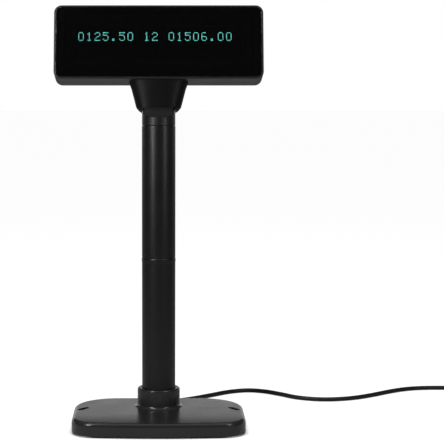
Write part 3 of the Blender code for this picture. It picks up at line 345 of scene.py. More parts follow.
class Palette:
    """Makes each finish's material once, with its shared node groups."""

    def __init__(self) -> None:
        """Builds the node groups that the materials share."""
        self.made: dict[str, bpy.types.Material] = {}
        self.patterns = {
            Surface.MOULDED: self._grain_group(),
            Surface.BRUSHED: self._brushed_group(),
            Surface.WOVEN: self._woven_group(),
        }
        self.marks = self._marks_group()

    @staticmethod
    def _group(name: str, outputs: Sequence[str]) -> tuple[Any, Any, Any]:
        """An empty node group that takes a place and a fineness.

        Args:
            name: Name of the group.
            outputs: Names of its value outputs.

        Returns:
            The group, its input node and its output node.
        """
        group = bpy.data.node_groups.new(name, "ShaderNodeTree")
        group.interface.new_socket("Place", in_out="INPUT", socket_type="NodeSocketVector")
        group.interface.new_socket("Fineness", in_out="INPUT", socket_type="NodeSocketFloat")
        for output in outputs:
            group.interface.new_socket(output, in_out="OUTPUT", socket_type="NodeSocketFloat")
        return group, group.nodes.new("NodeGroupInput"), group.nodes.new("NodeGroupOutput")

    @staticmethod
    def _math(tree: Any, operation: str, first: Any, second: Any = 0.0, clamp: bool = False) -> Any:
        """A Math node on two sockets or numbers, and its output socket."""
        node = tree.nodes.new("ShaderNodeMath")
        node.operation = operation
        node.use_clamp = clamp
        for socket, value in zip(node.inputs, (first, second)):
            if isinstance(value, (int, float)):
                socket.default_value = value
            else:
                tree.links.new(value, socket)
        return node.outputs[0]

    @staticmethod
    def _noise(tree: Any, place: Any, scale: Any, detail: float, distortion: float = 0.0) -> Any:
        """A Noise Texture's factor at a place, its scale a number or a socket."""
        node = tree.nodes.new("ShaderNodeTexNoise")
        node.inputs["Detail"].default_value = detail
        node.inputs["Distortion"].default_value = distortion
        tree.links.new(place, node.inputs["Vector"])
        if isinstance(scale, (int, float)):
            node.inputs["Scale"].default_value = scale
        else:
            tree.links.new(scale, node.inputs["Scale"])
        return node.outputs["Fac"]

    def _grain_group(self) -> Any:
        """Moulded grain: rounded cells a few tenths of a millimetre wide over slow mottling."""
        group, inside, outside = self._group("moulded_grain", ("Height", "Tone"))
        cells = group.nodes.new("ShaderNodeTexVoronoi")
        cells.feature = "SMOOTH_F1"
        group.links.new(inside.outputs["Place"], cells.inputs["Vector"])
        group.links.new(inside.outputs["Fineness"], cells.inputs["Scale"])
        fine = self._noise(group, inside.outputs["Place"], inside.outputs["Fineness"], 3)
        height = self._math(group, "ADD", self._math(group, "MULTIPLY", cells.outputs["Distance"], 0.7), fine)
        slow_scale = self._math(group, "MULTIPLY", inside.outputs["Fineness"], 0.02)
        slow = self._noise(group, inside.outputs["Place"], slow_scale, 4, 0.6)
        tone = self._math(group, "ADD", self._math(group, "MULTIPLY", slow, 0.6),
                          self._math(group, "MULTIPLY", fine, 0.4))
        group.links.new(height, outside.inputs["Height"])
        group.links.new(tone, outside.inputs["Tone"])
        return group

    def _brushed_group(self) -> Any:
        """Rolled or turned metal: noise drawn out along X, over faint clouding."""
        group, inside, outside = self._group("brushed_lines", ("Height", "Tone"))
        stretch = group.nodes.new("ShaderNodeMapping")
        stretch.inputs["Scale"].default_value = (0.03, 1.0, 1.0)
        group.links.new(inside.outputs["Place"], stretch.inputs["Vector"])
        lines = self._noise(group, stretch.outputs["Vector"], inside.outputs["Fineness"], 4)
        slow_scale = self._math(group, "MULTIPLY", inside.outputs["Fineness"], 0.03)
        clouds = self._noise(group, inside.outputs["Place"], slow_scale, 3, 0.4)
        tone = self._math(group, "ADD", self._math(group, "MULTIPLY", lines, 0.5),
                          self._math(group, "MULTIPLY", clouds, 0.5))
        group.links.new(lines, outside.inputs["Height"])
        group.links.new(tone, outside.inputs["Tone"])
        return group

    def _woven_group(self) -> Any:
        """Hook-and-loop pile or foam: open cells over a coarse noise."""
        group, inside, outside = self._group("open_cells", ("Height", "Tone"))
        cells = group.nodes.new("ShaderNodeTexVoronoi")
        cells.feature = "DISTANCE_TO_EDGE"
        group.links.new(inside.outputs["Place"], cells.inputs["Vector"])
        group.links.new(inside.outputs["Fineness"], cells.inputs["Scale"])
        rough = self._noise(group, inside.outputs["Place"], inside.outputs["Fineness"], 5)
        height = self._math(group, "ADD", cells.outputs["Distance"], self._math(group, "MULTIPLY", rough, 0.5))
        group.links.new(height, outside.inputs["Height"])
        group.links.new(rough, outside.inputs["Tone"])
        return group

    def _marks_group(self) -> Any:
        """Dust specks and soft handling marks: sparse fine noise where slow noise is high."""
        group, inside, outside = self._group("handling_marks", ("Mask",))
        slow = self._noise(group, inside.outputs["Place"], 22.0, 3, 1.2)
        smear = self._math(group, "MULTIPLY", self._math(group, "SUBTRACT", slow, 0.5), 3.0, True)
        fine = self._noise(group, inside.outputs["Place"], inside.outputs["Fineness"], 2)
        specks = self._math(group, "MULTIPLY", self._math(group, "SUBTRACT", fine, 0.66), 9.0, True)
        both = self._math(group, "ADD", self._math(group, "MULTIPLY", smear, 0.45), specks, True)
        group.links.new(both, outside.inputs["Mask"])
        return group

    def material(self, finish: Finish) -> bpy.types.Material:
        """The material of a finish, made the first time it is asked for.

        Args:
            finish: The finish.

        Returns:
            Its material: pattern to colour, roughness and bump, constants on the shader itself.
        """
        if finish.name in self.made:
            return self.made[finish.name]
        made = bpy.data.materials.new(finish.name)
        made.use_nodes = True
        tree = made.node_tree
        shader = tree.nodes["Principled BSDF"]
        place = tree.nodes.new("ShaderNodeTexCoord").outputs["Object"]
        pattern = self._placed_group(tree, self.patterns[finish.surface], place, finish.fineness)
        marks = self._placed_group(tree, self.marks, place, finish.fineness * 0.4)
        hollow = tuple(c * finish.tone for c in finish.colour)
        base = self._mixed(tree, pattern.outputs["Tone"], (*hollow, 1), (*finish.colour, 1))
        dusty = tuple(min(1.0, c * 0.9 + 0.12) for c in finish.colour)
        share = self._math(tree, "MULTIPLY", marks.outputs["Mask"], finish.marks)
        tree.links.new(self._mixed(tree, share, base, (*dusty, 1)), shader.inputs["Base Color"])
        spread = tree.nodes.new("ShaderNodeMapRange")
        spread.inputs["From Min"].default_value = 0.3
        spread.inputs["From Max"].default_value = 0.75
        spread.inputs["To Min"].default_value, spread.inputs["To Max"].default_value = finish.rough
        tree.links.new(pattern.outputs["Tone"], spread.inputs["Value"])
        rough = self._math(tree, "ADD", spread.outputs["Result"], self._math(tree, "MULTIPLY", share, 0.8), True)
        tree.links.new(rough, shader.inputs["Roughness"])
        bump = tree.nodes.new("ShaderNodeBump")
        bump.inputs["Strength"].default_value = 1.0
        bump.inputs["Distance"].default_value = finish.depth
        tree.links.new(pattern.outputs["Height"], bump.inputs["Height"])
        tree.links.new(bump.outputs["Normal"], shader.inputs["Normal"])
        shader.inputs["Metallic"].default_value = finish.metallic
        shader.inputs["Coat Weight"].default_value = finish.coat
        shader.inputs["Coat Roughness"].default_value = 0.08
        shader.inputs["Specular IOR Level"].default_value = finish.specular
        shader.inputs["Transmission Weight"].default_value = finish.clear
        self.made[finish.name] = made
        return made

    @staticmethod
    def _placed_group(tree: Any, group: Any, place: Any, fineness: float) -> Any:
        """A group placed in a material with its own fineness."""
        node = tree.nodes.new("ShaderNodeGroup")
        node.node_tree = group
        node.inputs["Fineness"].default_value = fineness
        tree.links.new(place, node.inputs["Place"])
        return node

    @staticmethod
    def _mixed(tree: Any, share: Any, first: Any, second: Any) -> Any:
        """A colour mix from first to second, each a socket or a colour, and its output socket."""
        node = tree.nodes.new("ShaderNodeMix")
        node.data_type = "RGBA"
        tree.links.new(share, node.inputs["Factor"])
        for socket, value in ((node.inputs[6], first), (node.inputs[7], second)):
            if isinstance(value, tuple):
                socket.default_value = value
            else:
                tree.links.new(value, socket)
        return node.outputs[2]

    def glow(self, name: str, colour: Colour, strength: float) -> bpy.types.Material:
        """A phosphor that shines, a little uneven from dot to dot.

        Args:
            name: Name of the material.
            colour: Colour of the light.
            strength: Its brightness.

        Returns:
            The material.
        """
        made = bpy.data.materials.new(name)
        made.use_nodes = True
        tree = made.node_tree
        shader = tree.nodes["Principled BSDF"]
        place = tree.nodes.new("ShaderNodeTexCoord").outputs["Object"]
        uneven = self._noise(tree, place, 400.0, 2)
        dim = tuple(c * 0.72 for c in colour)
        lit = self._mixed(tree, uneven, (*dim, 1), (*colour, 1))
        tree.links.new(lit, shader.inputs["Emission Color"])
        tree.links.new(lit, shader.inputs["Base Color"])
        shader.inputs["Emission Strength"].default_value = strength
        shader.inputs["Roughness"].default_value = 0.6
        return made


# ---------------------------------------------------------------- finishes of the display

BASE_PLASTIC = Finish("base_plastic", (0.024, 0.024, 0.0245), 0.82, (0.19, 0.29), 1900, 0.008 * MM)
TUBE_PLASTIC = Finish("tube_plastic", (0.0042, 0.0042, 0.0045), 0.85, (0.3, 0.4), 2400, 0.008 * MM)
NECK_PLASTIC = Finish("neck_plastic", (0.0045, 0.0045, 0.005), 0.85, (0.34, 0.46), 2000, 0.015 * MM)
# Same black plastic as NECK_PLASTIC, painted darker: painted shade on the neck hood, with a low specular level too.
HOOD_PAINTED_SHADE = Finish("hood_black_painted_shade", (0.002, 0.002, 0.0023), 0.85, (0.4, 0.52), 2000, 0.015 * MM,
                      specular=0.18)
HOUSING_PLASTIC = Finish("housing_plastic", (0.012, 0.012, 0.0125), 0.85, (0.28, 0.4), 2200, 0.01 * MM)
WINDOW = Finish("smoked_window", (0.15, 0.165, 0.165), 0.97, (0.03, 0.05), 60, 0.0, 0.0, clear=1.0)
TUBE_GLASS = Finish("tube_glass", (0.006, 0.009, 0.009), 0.9, (0.06, 0.1), 80, 0.0, 0.01)
CIRCUIT = Finish("circuit_board", (0.02, 0.1, 0.045), 0.6, (0.35, 0.5), 900, 0.02 * MM)
CONNECTOR = Finish("connector_plastic", (0.62, 0.6, 0.52), 0.92, (0.4, 0.52), 2500, 0.008 * MM)
INNER_PLASTIC = Finish("inner_plastic", (0.03, 0.03, 0.03), 0.85, (0.5, 0.62), 1800, 0.02 * MM)
BUSH_PLASTIC = Finish("bush_plastic", (0.5, 0.5, 0.46), 0.93, (0.4, 0.5), 2500, 0.006 * MM)
FOAM = Finish("black_foam", (0.012, 0.012, 0.012), 0.5, (0.85, 0.95), 1500, 0.15 * MM, surface=Surface.WOVEN)
STRAP = Finish("strap_pile", (0.014, 0.014, 0.015), 0.45, (0.8, 0.92), 2600, 0.12 * MM, surface=Surface.WOVEN)
RUBBER = Finish("rubber", (0.013, 0.013, 0.013), 0.8, (0.55, 0.72), 1600, 0.02 * MM, 0.05)
STEEL = Finish("sheet_steel", (0.5, 0.5, 0.51), 0.8, (0.26, 0.42), 2600, 0.006 * MM, 0.02,
               Surface.BRUSHED, 1.0)
ZINC = Finish("zinc_screw", (0.56, 0.56, 0.54), 0.82, (0.22, 0.36), 3200, 0.004 * MM, 0.03,
              Surface.BRUSHED, 1.0)
CORD = Finish("cord_sheath", (0.0085, 0.0085, 0.009), 0.85, (0.42, 0.56), 1800, 0.012 * MM)

KEPT_NODES = {
    "base_plate": STEEL, "swivel_washer": STEEL, "swivel_clip": STEEL,
    "tilt_plate_left": STEEL, "tilt_plate_right": STEEL,
    "pole_lock_nut": INNER_PLASTIC, "tube_coupler": INNER_PLASTIC, "board_header": INNER_PLASTIC,
    "pole_top_bush": BUSH_PLASTIC, "friction_disc_left": BUSH_PLASTIC, "friction_disc_right": BUSH_PLASTIC,
    "pole_cable": CORD, "head_lead": CORD, "tilt_nut": ZINC,
    "display_tube": TUBE_GLASS, "display_board": CIRCUIT, "controller_board": CIRCUIT,
    "cable_socket": CONNECTOR, "supply_transformer": FOAM, "window_gasket": FOAM,
    "neck_screw_left": ZINC, "neck_screw_right": ZINC,
}
KEPT_NODES.update({f"{kind}_screw_{n}": ZINC for kind in ("board", "plate") for n in range(1, 5)})


# ---------------------------------------------------------------- workshop


@dataclass
class Workshop:
    """Turns shapes into pieces of the scene that ride on the frame's bodies.

    Attributes:
        palette: Where materials come from.
        pole_y: Depth of the pole's axis.
        pivot_z: Height of the tilt pin.
        lean: Lean of the face from upright, in degrees.
    """

    palette: Palette
    pole_y: float
    pivot_z: float
    lean: float = 13.0
    pieces: list[Any] = field(default_factory=list)

    @property
    def stand(self) -> Array:
        """From the pole's foot to the frame."""
        return shift(y=self.pole_y)

    @property
    def pin(self) -> Array:
        """From the tilt pin, upright, to the frame."""
        return shift(y=self.pole_y, z=self.pivot_z)

    @property
    def head(self) -> Array:
        """From the tilt pin, leaning with the face, to the frame."""
        return self.pin @ spin("x", -self.lean)

    @staticmethod
    def _mesh(name: str, shape: Shape) -> bpy.types.Mesh:
        """A mesh with shared points merged and every face outwards.

        Args:
            name: Name of the mesh.
            shape: Its points and faces.

        Returns:
            The mesh.
        """
        mesh = bpy.data.meshes.new(name)
        mesh.from_pydata(shape.points.tolist(), [], shape.faces)
        work = bmesh.new()
        work.from_mesh(mesh)
        bmesh.ops.remove_doubles(work, verts=work.verts, dist=1e-7)
        bmesh.ops.recalc_face_normals(work, faces=work.faces)
        if work.calc_volume(signed=True) < 0:
            bmesh.ops.reverse_faces(work, faces=work.faces)
        work.to_mesh(mesh)
        work.free()
        return mesh

    def worked(self, piece: Any, tools: Iterable[Shape], operation: str, solver: str) -> None:
        """Cuts shapes from a piece, or joins them to it, and keeps the result as its mesh.

        Args:
            piece: The object.
            tools: Shapes in the frame.
            operation: DIFFERENCE or UNION.
            solver: EXACT or MANIFOLD.
        """
        helpers = []
        for shape in tools:
            helper = bpy.data.objects.new("tool", self._mesh("tool", shape))
            bpy.context.scene.collection.objects.link(helper)
            change = piece.modifiers.new("work", "BOOLEAN")
            change.operation, change.solver, change.object = operation, solver, helper
            helpers.append(helper)
        graph = bpy.context.evaluated_depsgraph_get()
        graph.update()
        done = bpy.data.meshes.new_from_object(piece.evaluated_get(graph), depsgraph=graph)
        piece.modifiers.clear()
        piece.data = done
        for helper in helpers:
            bpy.data.objects.remove(helper)

    def make(
        self, name: str, shape: Shape, finish: Finish, body: str,
        stands_for: Sequence[str] = (), place: Array | None = None, joins: Sequence[Shape] = (),
        cuts: Sequence[Shape] = (), solver: str = "EXACT", sharp: float = 35.0,
    ) -> Any:
        """Makes one piece: its solid, what is joined to and cut from it, its finish and its body.

        Args:
            name: Name of the piece.
            shape: Its solid, before the work on it.
            finish: Its finish.
            body: The frame's body that it rides on.
            stands_for: Nodes of the frame that it stands for.
            place: Matrix from the shape's own axes to the frame.
            joins: Shapes joined to it.
            cuts: Shapes cut from it.
            solver: Boolean solver.
            sharp: Edges that turn more than this many degrees stay crisp.

        Returns:
            The piece's object.
        """
        place = np.eye(4) if place is None else place
        piece = bpy.data.objects.new(name, self._mesh(name, shape.placed(place)))
        bpy.context.scene.collection.objects.link(piece)
        if joins:
            self.worked(piece, [s.placed(place) for s in joins], "UNION", solver)
        if cuts:
            self.worked(piece, [s.placed(place) for s in cuts], "DIFFERENCE", solver)
        piece.data.name = name
        piece.data.shade_smooth()
        piece.data.set_sharp_from_angle(angle=math.radians(sharp))
        piece.data.materials.clear()
        piece.data.materials.append(self.palette.material(finish))
        self.finish_piece(piece, body, stands_for)
        return piece

    def finish_piece(self, piece: Any, body: str, stands_for: Sequence[str] = ()) -> None:
        """Puts a piece on its body, says what it stands for, and reports it."""
        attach(piece, body)
        if stands_for:
            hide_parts(*stands_for)
        self.pieces.append(piece)
        faces = len(piece.data.polygons) if piece.type == "MESH" else 0
        LOG.info("%s on %s, %d faces", piece.name, body, faces)


# ---------------------------------------------------------------- base


@dataclass
class Base:
    """The weighted base: moulded cover with its pole collar, feet and screws."""

    width: float = 179 * MM
    front: float = 86 * MM
    rear: float = 41 * MM
    height: float = 16 * MM
    bow: float = 670 * MM
    front_corner: float = 25 * MM
    rear_corner: float = 45 * MM
    edge: float = 4 * MM
    wall: float = 2.5 * MM
    crown: float = 1.0 * MM
    crown_reach: float = 52 * MM
    bore: float = 17.95 * MM
    collar: float = 22.5 * MM
    collar_top: float = 36 * MM
    fillet: float = 3.5 * MM
    lip: float = 1.8 * MM
    plate_low: float = 1.6 * MM
    plate_high: float = 5.6 * MM
    foot: tuple[float, float] = (8 * MM, 1.3 * MM)
    slot_place: tuple[float, float] = (79.5 * MM, -16.4 * MM)
    slot_size: tuple[float, float] = (17 * MM, 6.2 * MM)
    slot_turn: float = -56.7
    slot_wall: float = 1.8 * MM

    def outline(self, inset: float) -> Array:
        """Footprint: straight sides, round corners and a front on a wide circle, moved in by an inset."""
        half = self.width / 2
        bow_y = self.bow - self.front
        side = half - self.front_corner
        front_y = bow_y - math.sqrt((self.bow - self.front_corner) ** 2 - side**2)
        lean = math.degrees(math.atan2(side, bow_y - front_y))
        rear = (half - self.rear_corner, self.rear - self.rear_corner)
        straight = np.linspace(front_y, rear[1], 12)[1:-1]
        left = np.column_stack([np.full(10, -half + inset), straight[::-1]])
        right = np.column_stack([np.full(10, half - inset), straight])
        back = np.linspace(-rear[0], rear[0], 14)[1:-1]
        middle = np.column_stack([back[::-1], np.full(12, self.rear - inset)])
        return np.vstack([
            arc(rear, self.rear_corner - inset, 0, 90, 28),
            middle,
            arc((-rear[0], rear[1]), self.rear_corner - inset, 90, 180, 28),
            left,
            arc((-side, front_y), self.front_corner - inset, 180, 270 - lean, 20),
            arc((0, bow_y), self.bow - inset, 270 - lean, 270 + lean, 48)[1:-1],
            arc((side, front_y), self.front_corner - inset, 270 + lean, 360, 20),
            right,
        ])

    def crowned(self, rows: Array, share: Array) -> Array:
        """Lowers points towards the front by crown·(reach past its start)³, in proportion to each row's share."""
        start = -self.front + self.crown_reach
        fall = self.crown * (np.clip(start - rows[..., 1], 0, None) / self.crown_reach) ** 3
        rows[..., 2] -= fall * share[:, None]
        return rows

    def circle_row(self, radius: float, height: float, outline: Array) -> Array:
        """A row at one radius, each point in the direction of the outline's own point."""
        angle = np.arctan2(outline[:, 1], outline[:, 0])
        return np.column_stack([radius * np.cos(angle), radius * np.sin(angle), np.full(len(angle), height)])

    def shell(self) -> Shape:
        """Cover from its bore over the collar and top to its rim, and back inside: rows carried round.

        Top rows run straight from the collar's circle to the footprint, (1 - s)·circle + s·outline.
        """
        rim = self.outline(0)
        under = self.height - self.wall
        lip = arc((self.bore + self.lip * 0.6, self.collar_top - self.lip * 0.6), self.lip * 0.6, 180, 90, 6)
        outer_lip = arc((self.collar - self.lip, self.collar_top - self.lip), self.lip, 90, 0, 8)
        foot = arc((self.collar + self.fillet, self.height + self.fillet), self.fillet, 180, 270, 10)
        circles = [(self.bore, under), (self.bore, self.height), *lip, *outer_lip, *foot]
        rows = [self.circle_row(r, z, rim) for r, z in circles]
        share = [0.0] * len(rows)
        edge_in = self.outline(self.edge)
        start = self.circle_row(self.collar + self.fillet, self.height, rim)
        for s in (0.02, 0.08, 0.18, 0.3, 0.42, 0.54, 0.66, 0.78, 0.88, 0.95, 0.985):
            end = np.column_stack([edge_in, np.full(len(edge_in), self.height)])
            rows.append(start * (1 - s) + end * s)
            share.append(1.0)
        fillet = arc((self.edge, self.height - self.edge), self.edge, 90, 180, 10)
        walls = [*fillet, (0.0, self.height - self.edge - 0.4 * MM), (0.0, 1.9 * MM),
                 (0.15 * MM, 1.45 * MM), (0.6 * MM, 1.0 * MM), (self.wall, 1.0 * MM)]
        inner = [(self.wall, under - 2 * MM), (self.wall + 0.6 * MM, under - 0.6 * MM), (self.wall + 2 * MM, under)]
        for inset, z in [*walls, *inner]:
            outline = self.outline(inset)
            rows.append(np.column_stack([outline, np.full(len(outline), z)]))
            share.append(float(np.clip((z - 3 * MM) / (self.height - self.edge - 3 * MM), 0, 1)))
        last = rows[-1]
        end = self.circle_row(self.bore, under, rim)
        for s in (0.25, 0.5, 0.75, 0.93):
            rows.append(last * (1 - s) + end * s)
            share.append(1.0 - s)
        return grid(self.crowned(np.array(rows), np.array(share)), ring_rows=True)

    def slots(self, size: tuple[float, float], low: float, high: float) -> list[Shape]:
        """A slot-shaped prism at each screw-down slot."""
        x, y = self.slot_place
        solid = prism(stadium(*size), low, high)
        return [solid.placed(shift(side * x, y) @ spin("z", side * self.slot_turn)) for side in (1, -1)]

    def screw_places(self) -> list[tuple[float, float]]:
        """The four screws under the cover."""
        front, rear = -self.front + 22 * MM, self.rear - 20 * MM
        return [(-56 * MM, front), (56 * MM, front), (-56 * MM, rear), (56 * MM, rear)]

    def foot_places(self) -> list[tuple[float, float]]:
        """The four feet."""
        front, rear = -self.front + 37 * MM, self.rear - 37 * MM
        return [(-56 * MM, front), (56 * MM, front), (-56 * MM, rear), (56 * MM, rear)]

    def build(self, shop: Workshop) -> None:
        """Makes the cover, the feet and the screws.

        Args:
            shop: Where pieces are made.
        """
        length, width = self.slot_size
        wall = 2 * self.slot_wall
        boss = turned([(4 * MM, self.plate_high + GAP), (4 * MM, self.height - 1.2 * MM)], 32)
        bosses = [boss.placed(shift(x, y)) for x, y in self.screw_places()]
        sleeves = self.slots((length + wall, width + wall), 1.0 * MM, self.height - 1.2 * MM)
        pilot = turned([(1.8 * MM, 0), (1.8 * MM, self.plate_high + 6 * MM)], 24)
        outlet = turned([(4.3 * MM, self.rear - 7.5 * MM), (4.3 * MM, self.rear + 2.5 * MM)], 48).placed(ALONG_Y)
        cuts = self.slots((length, width), -MM, self.height + 6 * MM)
        cuts += [pilot.placed(shift(x, y)) for x, y in self.screw_places()]
        cuts.append(outlet.placed(shift(z=6.5 * MM)))
        shop.make("base_shell", self.shell(), BASE_PLASTIC, "stand", stands_for=["base_cover"], place=shop.stand,
                  joins=[*bosses, *sleeves], cuts=cuts)
        radius, tall = self.foot
        profile = softened([(0.3 * MM, 0, 0), (radius - 1.6 * MM, 0, 0.5 * MM), (radius, 0.5 * MM, 0.4 * MM),
                            (radius, tall, 0)], 4, 0.05 * MM)
        groove = [(3 * MM, -MM), (3 * MM, 0.35 * MM), (3.8 * MM, 0.35 * MM), (3.8 * MM, -MM)]
        names = ("front_left", "front_right", "rear_left", "rear_right")
        for name, (x, y) in zip(names, self.foot_places()):
            shop.make(f"rubber_foot_{name}", turned(profile, 56), RUBBER, "stand", stands_for=[f"foot_{name}"],
                      place=shop.stand @ shift(x, y), cuts=[turned(groove, 56, True)])
        seat = self.plate_low - GAP
        for name, (x, y) in zip(names, self.screw_places()):
            screw = pan_screw(2.8 * MM, seat - 0.2 * MM, 1.5 * MM, self.plate_high + 5 * MM - self.plate_low)
            shop.make(f"base_fixing_{name}", screw, ZINC, "stand", stands_for=[f"base_screw_{name}"],
                      place=shop.stand @ shift(x, y, seat), cuts=cross_recess(2.8 * MM, seat - 0.2 * MM))


# ---------------------------------------------------------------- pole


@dataclass
class Pole:
    """The two tubes of the pole."""

    radius: float = 17.65 * MM
    wall: float = 2.1 * MM
    foot: float = 5.9 * MM
    seam: float = 175.2 * MM
    top: float = 314.2 * MM
    bead: float = 0.25 * MM

    def build(self, shop: Workshop) -> None:
        """Makes both tubes, turned with a slight swelling under the seam.

        Args:
            shop: Where pieces are made.
        """
        r, inner, seam = self.radius, self.radius - self.wall, self.seam
        small = 0.3 * MM
        swell = [(r + self.bead * math.sin(math.pi / 2 * t) ** 2, seam - 6 * MM + 3.4 * MM * t)
                 for t in np.linspace(0, 1, 7)]
        lower = [(inner, seam), (inner, self.foot), (r - small, self.foot), (r, self.foot + small),
                 (r, self.foot + MM), *[(r, z) for z in np.linspace(20 * MM, seam - 8 * MM, 8)], *swell,
                 (r + self.bead, seam - MM), (r + self.bead * 0.7, seam - 0.6 * MM),
                 (r, seam - 0.3 * MM), (r - 0.35 * MM, seam)]
        mouth = turned([(4.6 * MM, 0), (4.6 * MM, 2 * r)], 48).placed(shift(z=6.5 * MM) @ ALONG_Y)
        shop.make("pole_tube_lower", turned(lower, 128, True), TUBE_PLASTIC, "stand", stands_for=["lower_tube"],
                  place=shop.stand, cuts=[mouth])
        low = seam + GAP
        upper = [(inner, self.top), (inner, low), (r - 0.35 * MM, low), (r - 0.1 * MM, low + 0.15 * MM),
                 (r, low + 0.5 * MM), (r, low + MM), *[(r, z) for z in np.linspace(190 * MM, 300 * MM, 6)],
                 (r, self.top - MM), (r, self.top - 0.4 * MM), (r - 0.1 * MM, self.top - 0.1 * MM),
                 (r - 0.35 * MM, self.top)]
        shop.make("pole_tube_upper", turned(upper, 128, True), TUBE_PLASTIC, "stand", stands_for=["upper_tube"],
                  place=shop.stand)


# ---------------------------------------------------------------- swivel and tilt joint


@dataclass
class Bowl:
    """Where the neck and the knuckle inside it are, measured from the tilt pin."""

    half: float = 24.4 * MM
    depth: float = 14.2 * MM
    drop: float = 3.7 * MM
    front: tuple[float, float] = (25 * MM, 24.6 * MM)
    rear: tuple[float, float] = (16 * MM, 9.5 * MM)
    bottom_front: float = 18.2 * MM
    top_half: float = 30 * MM
    wall: float = 2.2 * MM
    square: float = 3.2
    top_square: float = 2.8

    def edge_half(self) -> float:
        """Half the width at the front's lower edge, on the half ellipse."""
        return self.half * math.sqrt(1 - (self.drop / self.depth) ** 2)

    def section(self, half: float, front: float, rear: float, power: float, count: int = 144) -> Array:
        """One plan section, |x/half|^p + |y/deep|^p = 1 about the middle of front and rear."""
        angle = (np.arange(count) + 0.5) * 2 * np.pi / count
        cosine, sine = np.cos(angle), np.sin(angle)
        x = half * np.sign(cosine) * np.abs(cosine) ** (2 / power)
        y = (rear - front) / 2 + (rear + front) / 2 * np.sign(sine) * np.abs(sine) ** (2 / power)
        return np.column_stack([x, y])

    def rows(self, wall: float, under_head: Any) -> Array:
        """Sections from the bowl's bottom up to the head's underside, inset by a wall.

        Below the lower edge the width follows the half ellipse half·sqrt(1 - (z/depth)²), and above
        it the width grows evenly and flares at the head.

        Args:
            wall: Inset.
            under_head: Height of the head's underside at a depth.

        Returns:
            Points, (rows, columns, 3).
        """
        rows = []
        for share in (0.985, 0.97, 0.94, 0.9, 0.85, 0.79, 0.72, 0.64, 0.55, 0.46, 0.37, 0.3):
            z = -self.depth * share
            fall = (z + self.drop) / (self.drop - self.depth)
            half = self.half * math.sqrt(1 - share**2)
            front = self.front[0] + (self.bottom_front - self.front[0]) * fall
            outline = self.section(max(half - wall, MM), front - wall, self.rear[0] * (1 - 0.5 * fall) - wall,
                                   2.2 + (self.square - 2.2) * (1 - fall))
            rows.append(np.column_stack([outline, np.full(len(outline), z)]))
        start = self.edge_half()
        for t in (0.0, 0.06, 0.2, 0.35, 0.5, 0.65, 0.75, 0.82, 0.88, 0.93, 0.97, 1.0):
            flare = 0.12 * max(0.0, t - 0.75) * self.half
            outline = self.section(start + (self.top_half - start) * t + flare - wall,
                                   self.front[0] + (self.front[1] - self.front[0]) * t - wall,
                                   self.rear[0] + (self.rear[1] - self.rear[0]) * t - wall,
                                   self.square + (self.top_square - self.square) * t)
            height = -self.drop + (under_head(outline[:, 1]) + self.drop) * t
            rows.append(np.column_stack([outline, height]))
        return np.array(rows)


